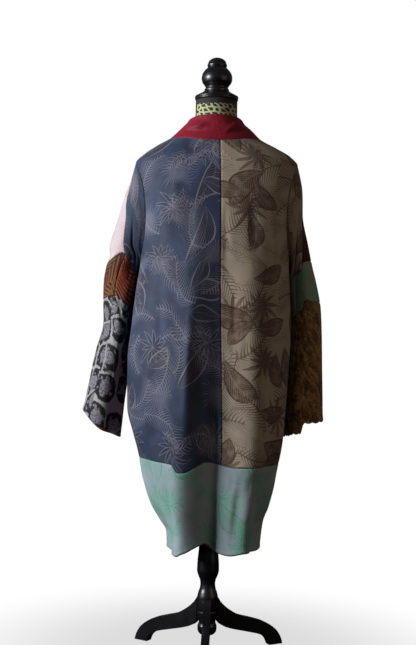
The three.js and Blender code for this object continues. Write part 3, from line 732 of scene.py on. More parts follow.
def cuff_end(side, around, scallop):
    """How far along a sleeve its edge lies: scalloped on the right, lifted at the back on the left."""
    if side == "right":
        even = 1 - np.abs(np.cos(around * SCALLOPS["waves"]))
        uneven = SCALLOPS["uneven"] * np.sin(around * SCALLOPS["uneven_waves"]) ** 2
        return 1 - scallop * (even + uneven) / SLEEVE_LENGTH
    off = (around - CUFF_LIFT["around"]) / CUFF_LIFT["half_width"]
    return 1 - CUFF_LIFT["height"] * np.exp(-off * off) / SLEEVE_LENGTH


# ---- cloth pieces ----

GRID = 5.2  # size of a cell of the cloth's mesh
EDGE_STEPS = (0.9, 2, 3.4, 5.2)  # lines of the mesh next to an edge
EDGE_STEPS_END = EDGE_STEPS[-1] + GRID * 0.4
COLLAR_GRID = 3.5

# About how far each run of cloth reaches, which sets how many cells its mesh has.
RUNS = {
    "back": 245,
    "front": 170,
    "over_armhole": 125,
    "band": 215,
    "back_band": 430,
    "hem_facing": 400,
    "collar_back": 115,
    "collar_width": 55,
    "sleeve_half": 220,
    "upper": 250,
    "middle": 95,
    "lower": 260,
    "cuff": 12,
}
ARMHOLE_ROWS = 52
CUFF_LINES = 109
HEM_FACING = {"height": 22, "below": 2.5, "inset": 2.25, "share": 0.93, "rows": 7}
CUFF_FACING = {"first_row": 6 / 7, "inset": 2.2}

# How wide the effects beside an edge are.
EDGE_WIDTHS = {"seam": 1.7, "roll_at": 3, "roll": 2.6, "calm": 18}


def shares(length, step=GRID):
    """Shares from 0 to 1 along a length of cloth, closer together at both ends."""
    even = np.linspace(0, 1, max(3, round(length / step)) + 1)
    inside = even[(even * length > EDGE_STEPS_END) & ((1 - even) * length > EDGE_STEPS_END)]
    near = np.array(EDGE_STEPS) / length
    return np.concatenate([[0], near, inside, (1 - near)[::-1], [1]])


def normals_of(points, outward):
    normal = np.cross(np.gradient(points, axis=0), np.gradient(points, axis=1))
    size = np.linalg.norm(normal, axis=-1, keepdims=True)
    return outward * normal / np.maximum(size, 1e-9)


def run_lengths(points, axis):
    """The length of cloth from the grid's first line to each of its points."""
    steps = np.linalg.norm(np.diff(points, axis=axis), axis=-1)
    first = np.zeros_like(np.take(steps, [0], axis=axis))
    return np.concatenate([first, np.cumsum(steps, axis=axis)], axis=axis)


def ripples(across, along, seed):
    """Soft unevenness from -1 to 1."""
    return (
        0.45 * np.sin(across / 23 + 1.7 * np.sin(along / 61 + seed) + seed)
        + 0.35 * np.sin(along / 47 + 1.3 * np.sin(across / 37 + 2.1 * seed))
        + 0.2 * np.sin(across / 11 + along / 29 + 1.9 * seed)
    )


def finished_edges(points, outward, edges, sizes, seed):
    """Turns the cloth in at its seams, fills out its turned edges and lays small ripples over the rest.

    Beside an edge of the kind "flat" only the ripples fade, and one without a kind is left as it is.
    """
    normal = normals_of(points, outward)
    across = run_lengths(points, 0)
    along = run_lengths(points, 1)
    distances = (across, across[-1:] - across, along, along[:, -1:] - along)
    offset = 0
    free = 1
    for kind, distance in zip(edges, distances):
        if kind == "seam":
            offset = offset - sizes.seam_dip / MM * np.exp(-((distance / EDGE_WIDTHS["seam"]) ** 2))
        if kind == "hem":
            off = (distance - EDGE_WIDTHS["roll_at"]) / EDGE_WIDTHS["roll"]
            offset = offset + sizes.hem_roll / MM * np.exp(-(off**2))
        if kind:
            free = free * (1 - np.exp(-((distance / EDGE_WIDTHS["calm"]) ** 2)))
    offset = offset + sizes.ripple / MM * free * ripples(across, along, seed)
    return points + normal * offset[..., None], distances


def grid_faces(across, along, closed, outward):
    """Quads of a grid; a closed one meets its first line again."""
    i, j = np.meshgrid(np.arange(across if closed else across - 1), np.arange(along - 1), indexing="ij")
    after = (i + 1) % across
    quads = np.stack([i * along + j, after * along + j, after * along + j + 1, i * along + j + 1], axis=-1)
    quads = quads.reshape(-1, 4)
    return quads if outward > 0 else quads[:, ::-1]


def write_uv(mesh, name, u, v, outward):
    """A UV map in metres, from a value for each point of the grid."""
    across, along = u.shape
    lines = grid_faces(across, along, False, outward).ravel()
    layer = mesh.uv_layers.new(name=name)
    values = np.stack([u.ravel()[lines], v.ravel()[lines]], axis=-1) * MM
    layer.data.foreach_set("uv", values.ravel().astype(np.float32))


def cloth_mesh(name, points, distances, outward, closed):
    """A mesh of the outer surface, with its run of cloth and its distances to the edges as UV maps."""
    across, along = points.shape[:2]
    lines = across - 1 if closed else across
    mesh = bpy.data.meshes.new(name)
    vertices = (points[:lines] * MM + AXIS).reshape(-1, 3)
    mesh.from_pydata(vertices.tolist(), [], grid_faces(lines, along, closed, outward).tolist())
    run_u, _, run_v, _ = distances
    write_uv(mesh, "cloth", run_u - run_u[across // 2], run_v, outward)
    write_uv(mesh, "edges", np.minimum(distances[0], distances[1]), distances[3], outward)
    mesh.polygons.foreach_set("use_smooth", [True] * len(mesh.polygons))
    return mesh


def place(name, mesh, materials, nodes):
    """Links a piece to the scene, on the body of the CAD nodes that it stands for."""
    for material in materials:
        mesh.materials.append(material)
    piece = bpy.data.objects.new(name, mesh)
    bpy.context.scene.collection.objects.link(piece)
    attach(piece, "root")
    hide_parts(*nodes)
    return piece


def sewn_piece(context, node, points, outward, cloth, edges, closed=False, double=False):
    """A cut piece of cloth: a thin shell with its seams, hems and ripples."""
    sizes = context.scene.coat_sizes
    seed = sum(map(ord, node)) * 0.37
    points, distances = finished_edges(points, outward, edges, sizes, seed)
    mesh = cloth_mesh(node + "_cloth", points, distances, outward, closed)
    materials = [cloth_material(context, cloth), cloth_material(context, "inside")]
    piece = place(node + "_cloth", mesh, materials, [node])
    shell = piece.modifiers.new("Thickness", "SOLIDIFY")
    shell.thickness = sizes.collar if double else sizes.cloth
    shell.offset = -1
    shell.material_offset = 1


def panel_levels():
    """Levels of a panel's rows, crowded where the armhole starts and ends."""
    body = mix(BAND_TOP, ARMPIT, shares(ARMPIT - BAND_TOP))
    hole = armhole_height(np.linspace(math.pi, 0, ARMHOLE_ROWS))
    top = mix(SHOULDER, NECK, shares(RUNS["over_armhole"]))
    return np.concatenate([body, hole[1:-1], top])


def body_panel(side, angle_at, width):
    """A panel from its middle edge to the collar, with `angle_at` giving its lines."""
    share = shares(width)[:, None]
    level = panel_levels()[None, :]
    angle = angle_at(side, level, share)
    return body_point(angle, panel_height(level, angle))


def hem_band(angles):
    """A band of the hem along a row of angles, from its lower edge up to the panels."""
    share = shares(RUNS["band"])[None, :]
    angle = angles[:, None]
    return body_point(angle, mix(hem_height(angle), panel_height(BAND_TOP, angle), share))


def back_band_angles():
    left, right = (back_angle(side, BAND_TOP, 1.0) for side in SIDES)
    return mix(left, right, shares(RUNS["back_band"]))


def hem_facing_points():
    """The facing inside the back band's edge, which shows a little below it."""
    angles = back_band_angles() * HEM_FACING["share"]
    angle = mix(angles[0], angles[-1], shares(RUNS["hem_facing"]))[:, None]
    share = np.linspace(0, 1, HEM_FACING["rows"])[None, :]
    height = hem_height(angle) - HEM_FACING["below"] + HEM_FACING["height"] * share
    points = body_point(angle, height)
    return points - normals_of(points, 1) * HEM_FACING["inset"]


def collar_points(side):
    """The collar from the centre back over the shoulder and down the front edge to the hem."""
    turn = SIDES[side]
    back = shares(RUNS["collar_back"])
    seam = back_angle(side, NECK, back)
    free = mix(centre_angle(COLLAR_BACK["height"][0]), turn * math.pi / 2, back)
    free_height = follow(COLLAR_BACK, "angle", "height", np.degrees(abs(free)))
    lines = [(seam, panel_height(NECK, seam), free, free_height)]
    level = panel_levels()[::-1]
    seam = turn * np.radians(follow(COLLAR, "seam_height", "seam_angle", level))
    free = turn * np.radians(follow(COLLAR, "seam_height", "free_angle", level))
    free_height = follow(COLLAR, "seam_height", "free_height", level)
    lines.append((seam, panel_height(level, seam), free, free_height))
    share = 1 - shares(RUNS["band"])[1:]
    foot_seam = np.full_like(share, seam[-1])
    foot_free = np.full_like(share, free[-1])
    low_seam = mix(hem_height(foot_seam), lines[1][1][-1], share)
    low_free = mix(hem_height(foot_free), lines[1][3][-1], share)
    lines.append((foot_seam, low_seam, foot_free, low_free))
    seam, seam_height, free, free_height = (np.concatenate(parts)[:, None] for parts in zip(*lines))
    share = shares(RUNS["collar_width"], COLLAR_GRID)[None, :]
    return body_point(mix(seam, free, share), mix(seam_height, free_height, share))


def sleeve_half(side, start, first, last, height):
    """Half a sleeve's girth between two of its cross seams, or from the armhole to one."""
    around = start + math.pi * shares(RUNS["sleeve_half"])[:, None]
    low = cross_seam(side, first, around) if first else 0 * around
    high = cross_seam(side, last, around)
    return sleeve_point(side, around, mix(low, high, shares(height)[None, :]))


def lower_sleeve(side, scallop, first_row=0.0, inset=0.0):
    """A sleeve from its last cross seam to the cuff, or with an inset the facing inside the cuff."""
    around = np.linspace(0, 2 * math.pi, CUFF_LINES)[:, None]
    first = mix(cross_seam(side, "middle", around), 1, first_row)
    last = cuff_end(side, around, scallop) if not inset else 1 + 0 * around
    along = mix(first, last, shares(RUNS["lower"] * (1 - first_row) + RUNS["cuff"])[None, :])
    points = sleeve_point(side, around, along)
    if side == "right":
        half = 1 - 2 * smooth(0.5 + CUFF_STEP["turn"] * np.sin(around))
        share = smooth((along - CUFF_STEP["from"]) / (1 - CUFF_STEP["from"]))
        points[..., 2] += CUFF_STEP["drop"] * half * share
        outside = np.maximum(points[..., 0] - CUFF_STEP["slant_from"], 0)
        points[..., 2] -= CUFF_STEP["slant"] * outside * share
    else:
        share = smooth((along - CUFF_HANG["from"]) / (1 - CUFF_HANG["from"]))
        off = (points[..., 0] - CUFF_HANG["x"]) / CUFF_HANG["half_width"]
        points[..., 2] -= (CUFF_HANG["drop"] + CUFF_HANG["bulge"] * np.exp(-off * off)) * share
    return points - normals_of(points, SIDES[side]) * inset if inset else points


# ---- node building ----


class Nodes:
    """Adds linked nodes to a material or a group, laid out from left to right."""

    def __init__(self, tree):
        self.tree = tree

    def add(self, kind, inputs=None, **settings):
        node = self.tree.nodes.new("ShaderNode" + kind)
        count = len(self.tree.nodes)
        node.location = (180 * (count // 6), -170 * (count % 6))
        for name, value in settings.items():
            setattr(node, name, value)
        for key, value in (inputs or {}).items():
            self.feed(node.inputs[key], value)
        return node

    def feed(self, socket, value):
        if isinstance(value, bpy.types.NodeSocket):
            self.tree.links.new(value, socket)
        else:
            socket.default_value = value

    def math(self, operation, *values, clamp=False):
        return self.add("Math", dict(enumerate(values)), operation=operation, use_clamp=clamp).outputs[0]

    def product(self, first, *others):
        for value in others:
            first = self.math("MULTIPLY", first, value)
        return first

    def inverse(self, mask):
        return self.math("SUBTRACT", 1.0, mask)

    def vector(self, operation, *values):
        return self.add("VectorMath", dict(enumerate(values)), operation=operation).outputs[0]

    def shrunk(self, vector, size):
        """Coordinates that grow by 1 over each `size`."""
        scale = self.math("DIVIDE", 1.0, size)
        return self.add("VectorMath", {0: vector, "Scale": scale}, operation="SCALE").outputs[0]

    def blend(self, factor, first, second, way="MIX"):
        node = self.add("Mix", {0: factor, 6: first, 7: second}, data_type="RGBA", blend_type=way)
        return node.outputs[2]

    def ramp(self, value, low, high):
        """0 below `low`, 1 above `high`, and smooth between them."""
        node = self.add("MapRange", {"Value": value, "From Min": low, "From Max": high})
        node.interpolation_type = "SMOOTHSTEP"
        return node.outputs["Result"]

    def noise(self, vector, scale, detail=2.0):
        return self.add("TexNoise", {"Vector": vector, "Scale": scale, "Detail": detail}).outputs["Fac"]

    def cells(self, inputs, **settings):
        """Irregular cells over the cloth, with the distance to their middles or to their edges."""
        return self.add("TexVoronoi", inputs, voronoi_dimensions="2D", **settings).outputs

    def chance(self, phase):
        """A random share for each whole number of a phase."""
        whole = self.math("FLOOR", phase)
        return self.add("TexWhiteNoise", {"W": whole}, noise_dimensions="1D").outputs["Value"]

    def parts(self, vector):
        node = self.add("SeparateXYZ", {"Vector": vector})
        return node.outputs["X"], node.outputs["Y"], node.outputs["Z"]

    def group(self, tree, inputs):
        node = self.add("Group", node_tree=tree)
        for key, value in inputs.items():
            self.feed(node.inputs[key], value)
        return node.outputs


def shared_group(build):
    """Makes a node group the first time that it is asked for, and gives the same one afterwards."""
    name = build.__name__.replace("_", " ").capitalize()

    def find():
        return bpy.data.node_groups.get(name) or build(bpy.data.node_groups.new(name, "ShaderNodeTree"))

    return find


def open_group(tree, inputs, outputs):
    """Gives a group its sockets and returns its builder, its inputs and its outputs."""
    for name, default in inputs.items():
        kind = "NodeSocketVector" if default is None else "NodeSocketFloat"
        socket = tree.interface.new_socket(name=name, in_out="INPUT", socket_type=kind)
        if default is not None:
            socket.default_value = default
    for name in outputs:
        kind = "NodeSocketVector" if name == "Local" else "NodeSocketFloat"
        tree.interface.new_socket(name=name, in_out="OUTPUT", socket_type=kind)
    start = tree.nodes.new("NodeGroupInput")
    end = tree.nodes.new("NodeGroupOutput")
    end.location = (2400, 0)
    return Nodes(tree), start.outputs, end.inputs


# ---- shared effects ----


@shared_group
def weave(tree):
    """Crossing threads, with slubs and a cloudy unevenness of the dye."""
    n, start, end = open_group(tree, {"Vector": None, "Thread": 0.0009, "Slub": 0.4}, ("Height", "Cloud"))
    u, v, _ = n.parts(n.vector("DIVIDE", start["Vector"], (MM, MM, MM)))
    thread = n.math("DIVIDE", math.pi * MM, start["Thread"])
    warp = n.math("SINE", n.math("MULTIPLY", u, thread))
    weft = n.math("SINE", n.math("MULTIPLY", v, thread))
    crossing = n.math("MULTIPLY_ADD", n.math("MULTIPLY", warp, weft), 0.5, 0.5)
    stretched = n.vector("MULTIPLY", start["Vector"], (1, 0.12, 1))
    slub = n.noise(stretched, 700.0, 1.0)
    n.feed(end["Height"], n.math("MULTIPLY_ADD", n.math("MULTIPLY", slub, start["Slub"]), 1.5, crossing))
    n.feed(end["Cloud"], n.noise(start["Vector"], 9.0, 4.0))
    return tree


SEWING = {
    "puckered": 0.011,  # how far the puckers reach from a seam, in metres
    "pucker": 0.0095,
    "stitch": 0.0042,
    "stitch_share": 0.68,
    "stitch_row": 0.017,
    "thread": 0.0005,
    # how far the painted shade beside a seam reaches, in metres
    "painted_shade_reach": 0.0026,
}


@shared_group
def sewing(tree):
    """Puckers and painted shade beside the seams, and a row of stitches along a hem."""
    inputs = {"Vector": None, "Edges": None, "Stitched": 1.0}
    n, start, end = open_group(tree, inputs, ("Height", "Shade", "Stitch"))
    u, v, _ = n.parts(start["Vector"])
    side, foot, _ = n.parts(start["Edges"])
    near = n.math("MINIMUM", side, foot)
    fade = n.inverse(n.ramp(near, 0.001, SEWING["puckered"]))
    run = n.math("ADD", u, v)
    wave = n.math("SINE", n.math("MULTIPLY", run, 2 * math.pi / SEWING["pucker"]))
    uneven = n.noise(start["Vector"], 130.0)
    pucker = n.product(wave, uneven, fade)
    place_in_stitch = n.math("FRACT", n.math("DIVIDE", u, SEWING["stitch"]))
    dash = n.math("LESS_THAN", place_in_stitch, SEWING["stitch_share"])
    off = n.math("ABSOLUTE", n.math("SUBTRACT", foot, SEWING["stitch_row"]))
    line = n.math("LESS_THAN", off, SEWING["thread"])
    stitch = n.product(dash, line, start["Stitched"])
    n.feed(end["Height"], n.math("MULTIPLY_ADD", stitch, 0.6, pucker))
    # painted shade: the colour falls to 0.65 right at a seam, where the seam's dip would be shaded
    n.feed(end["Shade"], n.math("MULTIPLY_ADD", n.ramp(near, 0.0002, SEWING["painted_shade_reach"]), 0.35, 0.65))
    n.feed(end["Stitch"], stitch)
    return tree


@shared_group
def scatter(tree):
    """Divides the cloth into uneven cells, and gives each place its own cell's turned coordinates."""
    inputs = {"Vector": None, "Cell": 0.1, "Seed": 0.0, "Turn": 1.0, "Angle": 0.0}
    n, start, end = open_group(tree, inputs, ("Local", "Random"))
    shift = n.add("CombineXYZ", {"X": start["Seed"], "Y": n.math("MULTIPLY", start["Seed"], 1.7)})
    moved = n.vector("ADD", n.shrunk(start["Vector"], start["Cell"]), shift.outputs[0])
    cell = n.cells({"Vector": moved, "Scale": 1.0, "Randomness": 0.55})
    local = n.vector("SUBTRACT", moved, cell["Position"])
    chance = n.add("SeparateColor", {"Color": cell["Color"]}).outputs
    swing = n.product(n.math("SUBTRACT", chance[0], 0.5), start["Turn"], 2 * math.pi)
    turned = n.add("VectorRotate", {"Vector": local, "Angle": n.math("ADD", swing, start["Angle"])})
    n.feed(end["Local"], turned.outputs[0])
    n.feed(end["Random"], chance[1])
    return tree


@shared_group
def frond(tree):
    """A palm frond: a bent rib with rows of leaflets that curve towards its tip, as strokes."""
    sizes = {"Length": 0.46, "Width": 0.22, "Bend": 0.3}
    leaflets = {"Barbs": 8.0, "Sweep": 0.6, "Line": 0.3}
    n, start, end = open_group(tree, {"Local": None, **sizes, **leaflets}, ("Mask", "Shape"))
    x, y, _ = n.parts(start["Local"])
    t = n.math("DIVIDE", x, start["Length"])
    bend = n.product(start["Bend"], start["Length"], n.math("MULTIPLY", t, t))
    side = n.math("SUBTRACT", y, bend)
    off = n.math("ABSOLUTE", side)
    a = n.math("DIVIDE", off, start["Width"])
    s = n.math("SUBTRACT", t, n.math("MULTIPLY", start["Sweep"], n.math("POWER", a, 1.35)))
    other = n.math("MULTIPLY", n.math("GREATER_THAN", side, 0.0), 0.5)
    phase = n.math("ADD", n.math("MULTIPLY", s, start["Barbs"]), other)
    full = n.math("SQRT", n.math("MAXIMUM", n.inverse(n.math("MULTIPLY", s, s)), 0.0))
    tip = n.math("MULTIPLY", full, n.math("MULTIPLY_ADD", n.chance(phase), 0.35, 0.65))
    inside_leaf = n.math("LESS_THAN", a, tip)
    spread = n.math("MULTIPLY", n.math("ABSOLUTE", n.math("SUBTRACT", n.math("FRACT", phase), 0.5)), 2.0)
    way_out = n.math("DIVIDE", a, n.math("MAXIMUM", tip, 0.01))
    taper = n.inverse(n.math("MULTIPLY", way_out, 0.75))
    line = n.math("LESS_THAN", spread, n.math("MULTIPLY", start["Line"], taper))
    on_rib = n.math("LESS_THAN", off, 0.011)
    rib = n.math("MULTIPLY", on_rib, n.math("LESS_THAN", n.math("ABSOLUTE", t), 1.0))
    n.feed(end["Mask"], n.math("MAXIMUM", n.math("MULTIPLY", inside_leaf, line), rib))
    n.feed(end["Shape"], inside_leaf)
    return tree


@shared_group
def burst(tree):
    """A palm's star of spear-shaped leaves, as fills and as outlines."""
    inputs = {"Local": None, "Rays": 13.0, "Reach": 0.48, "Width": 0.075}
    n, start, end = open_group(tree, inputs, ("Fill", "Outline"))
    x, y, _ = n.parts(start["Local"])
    squares = n.math("ADD", n.math("MULTIPLY", x, x), n.math("MULTIPLY", y, y))
    r = n.math("DIVIDE", n.math("SQRT", squares), start["Reach"])
    turn = n.math("ADD", n.math("ARCTAN2", y, x), n.math("MULTIPLY", r, 0.35))
    phase = n.math("DIVIDE", n.math("MULTIPLY", turn, start["Rays"]), 2 * math.pi)
    q = n.math("DIVIDE", r, n.math("MULTIPLY_ADD", n.chance(phase), 0.45, 0.55))
    spread = n.math("ABSOLUTE", n.math("SUBTRACT", n.math("FRACT", phase), 0.5))
    angle = n.math("DIVIDE", n.math("MULTIPLY", spread, 2 * math.pi), start["Rays"])
    lateral = n.math("MULTIPLY", angle, r)
    swell = n.product(q, n.inverse(q), 4.0)
    width = n.math("MULTIPLY", n.math("MAXIMUM", swell, 0.0), start["Width"])
    n.feed(end["Fill"], n.math("LESS_THAN", lateral, width))
    on_edge = n.math("LESS_THAN", n.math("ABSOLUTE", n.math("SUBTRACT", lateral, width)), 0.016)
    n.feed(end["Outline"], n.math("MULTIPLY", on_edge, n.math("LESS_THAN", q, 1.02)))
    return tree


@shared_group
def leaf(tree):
    """A broad pointed leaf with a rib, side veins and an outline."""
    inputs = {"Local": None, "Length": 0.42, "Width": 0.16, "Veins": 12.0, "Bend": 0.25}
    n, start, end = open_group(tree, inputs, ("Fill", "Outline", "Veins"))
    x, y, _ = n.parts(start["Local"])
    t = n.math("DIVIDE", x, start["Length"])
    square = n.math("MULTIPLY", t, t)
    bend = n.product(start["Bend"], start["Length"], square)
    off = n.math("ABSOLUTE", n.math("SUBTRACT", y, bend))
    swell = n.math("MULTIPLY", n.inverse(square), n.math("MULTIPLY_ADD", t, 0.35, 1.0))
    width = n.math("MULTIPLY", n.math("MAXIMUM", swell, 0.0), start["Width"])
    e = n.math("DIVIDE", off, n.math("MAXIMUM", width, 0.0005))
    n.feed(end["Fill"], n.math("LESS_THAN", e, 1.0))
    n.feed(end["Outline"], n.math("LESS_THAN", n.math("ABSOLUTE", n.math("SUBTRACT", e, 0.97)), 0.09))
    phase = n.math("SUBTRACT", t, n.math("MULTIPLY", n.math("DIVIDE", off, start["Width"]), 0.55))
    vein = n.math("LESS_THAN", n.math("FRACT", n.math("MULTIPLY", phase, start["Veins"])), 0.3)
    rib = n.math("LESS_THAN", off, 0.009)
    n.feed(end["Veins"], n.math("MULTIPLY", n.math("MAXIMUM", vein, rib), n.math("LESS_THAN", e, 0.95)))
    return tree


# The shapes of the motifs that the prints scatter; lengths are shares of a cell.
LARGE_FROND = {"Length": 0.5, "Width": 0.36, "Barbs": 8.5, "Sweep": 0.8, "Line": 0.4}
MIDDLING_FROND = {"Length": 0.5, "Width": 0.3, "Barbs": 6.5, "Sweep": 0.55, "Bend": -0.4, "Line": 0.4}
THIN_FROND = {"Length": 0.55, "Width": 0.42, "Barbs": 6.0, "Sweep": 1.0, "Line": 0.36}
INKED_FROND = {"Length": 0.8, "Width": 0.6, "Barbs": 6.5, "Sweep": 0.9, "Line": 0.66}
STAR = {"Rays": 11.0, "Reach": 0.52, "Width": 0.07}
THISTLE = {"Rays": 27.0, "Reach": 0.5, "Width": 0.034}
BROAD_LEAF = {"Length": 0.42, "Width": 0.18, "Veins": 8.0}


@shared_group
def palm_print(tree):
    """A dense print of fronds, palm stars and leaves over a fine undergrowth."""
    stars = ("Star fill", "Star lines", "Thistles")
    outputs = ("Fronds", *stars, "Leaf fill", "Leaf edges", "Leaf veins", "Undergrowth")
    n, start, end = open_group(tree, {"Vector": None, "Scale": 1.0, "Seed": 0.0}, outputs)
    cloth = n.shrunk(start["Vector"], start["Scale"])

    def cells(cell, seed, turn, angle, present):
        place_of = {"Vector": cloth, "Cell": cell, "Seed": n.math("ADD", start["Seed"], seed)}
        found = n.group(scatter(), {**place_of, "Turn": turn, "Angle": angle})
        return found["Local"], n.math("LESS_THAN", found["Random"], present)

    def fronds(cell, seed, present, shape):
        local, shown = cells(cell, seed, 1.0, 0.0, present)
        return n.math("MULTIPLY", n.group(frond(), {"Local": local, **shape})["Mask"], shown)

    large = fronds(0.13, 1.3, 0.85, LARGE_FROND)
    middling = fronds(0.1, 8.3, 0.45, MIDDLING_FROND)
    n.feed(end["Fronds"], n.math("MAXIMUM", large, middling))
    local, shown = cells(0.12, 6.1, 1.0, 0.0, 0.5)
    stars = n.group(burst(), {"Local": local, **STAR})
    n.feed(end["Star fill"], n.math("MULTIPLY", stars["Fill"], shown))
    n.feed(end["Star lines"], n.math("MULTIPLY", stars["Outline"], shown))
    local, shown = cells(0.11, 27.2, 1.0, 0.0, 0.5)
    thistles = n.group(burst(), {"Local": local, **THISTLE})
    n.feed(end["Thistles"], n.math("MULTIPLY", thistles["Fill"], shown))
    fill, edges, veins = 0, 0, 0
    for cell, seed, turn, present in ((0.14, 11.7, 0.35, 0.6), (0.1, 33.0, 1.0, 0.45)):
        local, shown = cells(cell, seed, turn, 1.2, present)
        leaves = n.group(leaf(), {"Local": local, **BROAD_LEAF})
        under = n.inverse(n.math("MULTIPLY", leaves["Fill"], shown))
        fill = n.math("MULTIPLY_ADD", leaves["Fill"], shown, n.math("MULTIPLY", fill, under))
        edges = n.math("MULTIPLY", edges, under)
        edges = n.math("MULTIPLY_ADD", leaves["Outline"], shown, edges, clamp=True)
        veins = n.math("MULTIPLY_ADD", leaves["Veins"], shown, n.math("MULTIPLY", veins, under))
    n.feed(end["Leaf fill"], fill)
    n.feed(end["Leaf edges"], edges)
    n.feed(end["Leaf veins"], veins)
    thin = n.math("MAXIMUM", fronds(0.072, 4.4, 0.95, THIN_FROND), fronds(0.085, 19.4, 0.8, THIN_FROND))
    patches = n.ramp(n.noise(cloth, 10.0, 2.0), 0.42, 0.47)
    n.feed(end["Undergrowth"], n.math("MULTIPLY", thin, patches))
    return tree


@shared_group
def paint_wear(tree):
    """Brush marks, dust and dull patches on painted wood, from the place in metres."""
    n, start, end = open_group(tree, {"Vector": None}, ("Height", "Dull", "Dust"))
    stretched = n.vector("MULTIPLY", start["Vector"], (1, 1, 0.25))
    n.feed(end["Height"], n.noise(stretched, 220.0, 3.0))
    n.feed(end["Dull"], n.noise(start["Vector"], 26.0, 4.0))
    n.feed(end["Dust"], n.ramp(n.noise(start["Vector"], 90.0, 5.0), 0.58, 0.78))
    return tree


# ---- cloths ----


def scaled_colour(colour, by):
    return (colour[0] * by, colour[1] * by, colour[2] * by, 1)


# How strongly each part of the palm print shows, in the order in which they are laid over one another.
FILL_SHARES = {"Undergrowth": 0.36, "Star fill": 0.45, "Leaf fill": 0.6}
LINE_SHARES = {"Leaf edges": 0.75, "Leaf veins": 0.3, "Star lines": 0.5, "Thistles": 0.32, "Fronds": 0.62}
TAUPE_SHARES = {"Undergrowth": 0.5, "Thistles": 0.4, "Star fill": 0.65, "Fronds": 0.78}
BAND_SHARES = {
    "Undergrowth": 0.3,
    "Star lines": 0.75,
    "Fronds": 0.6,
    "Thistles": 0.2,
    "Leaf veins": 0.45,
    "Leaf edges": 0.7,
}


def printed(n, uv, ground, scale, seed, fills, lines, strength):
    """Lays the palm print over a ground, with one colour for its fills and one for its lines."""
    masks = n.group(palm_print(), {"Vector": uv, "Scale": scale, "Seed": seed})
    colour = ground
    for shares_of, ink in ((FILL_SHARES, fills), (LINE_SHARES, lines)):
        for name, share in shares_of.items():
            colour = n.blend(n.math("MULTIPLY", masks[name], share * strength), colour, ink)
    return colour, masks


def blue(n, uv, colours):
    """Pale lines and aubergine fills on a ground with darker patches."""
    patches = n.ramp(n.noise(uv, 9.0, 3.0), 0.38, 0.66)
    ground = n.blend(patches, scaled_colour(colours.blue, 0.64), colours.blue)
    colour, masks = printed(n, uv, ground, 1.0, 2.0, colours.blue_leaf, colours.blue_line, 1.0)
    return colour, masks["Fronds"]


def taupe(n, uv, colours):
    """Brown leaves with light veins, and brown ferns and stars."""
    masks = n.group(palm_print(), {"Vector": uv, "Scale": 1.1, "Seed": 17.0})
    brown = colours.taupe_leaf
    mottle = n.ramp(n.noise(uv, 45.0, 3.0), 0.3, 0.62)
    colour = colours.taupe
    for name, share in TAUPE_SHARES.items():
        colour = n.blend(n.math("MULTIPLY", masks[name], share), colour, brown)
    fill = n.math("MULTIPLY", masks["Leaf fill"], n.math("MULTIPLY_ADD", mottle, 0.4, 0.5))
    colour = n.blend(fill, colour, brown)
    colour = n.blend(n.math("MULTIPLY", masks["Leaf veins"], 0.35), colour, colours.taupe)
    return n.blend(n.math("MULTIPLY", masks["Leaf edges"], 0.8), colour, brown), masks["Leaf edges"]


def crimson(n, uv, colours):
    tone = n.ramp(n.noise(n.vector("MULTIPLY", uv, (1, 0.3, 1)), 35.0, 3.0), 0.35, 0.7)
    return n.blend(tone, scaled_colour(colours.crimson, 0.85), colours.crimson), None


def plum(n, uv, colours):
    fills = scaled_colour(colours.plum, 0.4)
    colour, masks = printed(n, uv, colours.plum, 1.2, 31.0, fills, colours.blue_line, 0.6)
    return colour, masks["Fronds"]


def slate(n, uv, colours):
    fills = scaled_colour(colours.slate, 0.35)
    colour, masks = printed(n, uv, colours.slate, 1.15, 43.0, fills, colours.blue_line, 0.7)
    return colour, masks["Fronds"]


def band(n, uv, colours):
    """Thin ferns, spear leaves and outlined leaves in green, in loose groups."""
    seed = 5.0
    masks = n.group(palm_print(), {"Vector": uv, "Scale": 0.9, "Seed": seed})
    groups = n.ramp(n.noise(n.vector("ADD", uv, (seed, 0, 0)), 6.5, 1.0), 0.33, 0.48)
    colour = colours.band
    for name, share in BAND_SHARES.items():
        colour = n.blend(n.product(masks[name], groups, share), colour, colours.green)
    return colour, masks["Leaf edges"]


def green_grey(n, uv, colours):
    """Bold green fronds here and there on a grey ground."""
    fronds_over, strokes = inked_leaves(n, uv, colours.grey_green, colours.green, 23.0)
    groups = n.ramp(n.noise(uv, 11.0, 1.0), 0.44, 0.5)
    return n.blend(n.math("MULTIPLY", groups, 0.75), colours.grey_green, fronds_over), strokes


def pale(n, uv, colours):
    colour, masks = printed(n, uv, colours.pale, 1.2, 12.0, colours.pink, colours.pink, 0.85)
    return colour, masks["Fronds"]


def inked_leaves(n, uv, ground, ink, seed):
    """Large palm leaves in thick strokes, one over another."""
    strokes = 0.0
    for cell, shift in ((0.11, 0.0), (0.13, 5.0)):
        cells = n.group(scatter(), {"Vector": uv, "Cell": cell, "Seed": seed + shift})
        leaves = n.group(frond(), {"Local": cells["Local"], **INKED_FROND})
        under = n.math("MULTIPLY", strokes, n.inverse(leaves["Shape"]))
        strokes = n.math("MAXIMUM", leaves["Mask"], under)
    return n.blend(n.math("MULTIPLY", strokes, 0.95), ground, ink), strokes


def rust(n, uv, colours):
    tone = n.ramp(n.noise(uv, 22.0, 3.0), 0.35, 0.7)
    ground = n.blend(tone, scaled_colour(colours.rust, 0.7), colours.rust)
    return inked_leaves(n, uv, ground, colours.ink, 3.0)


def amber(n, uv, colours):
    tone = n.ramp(n.noise(uv, 14.0, 2.0), 0.4, 0.66)
    ground = n.blend(n.math("MULTIPLY", tone, 0.45), colours.amber, colours.ochre)
    return inked_leaves(n, uv, ground, colours.ink, 8.0)


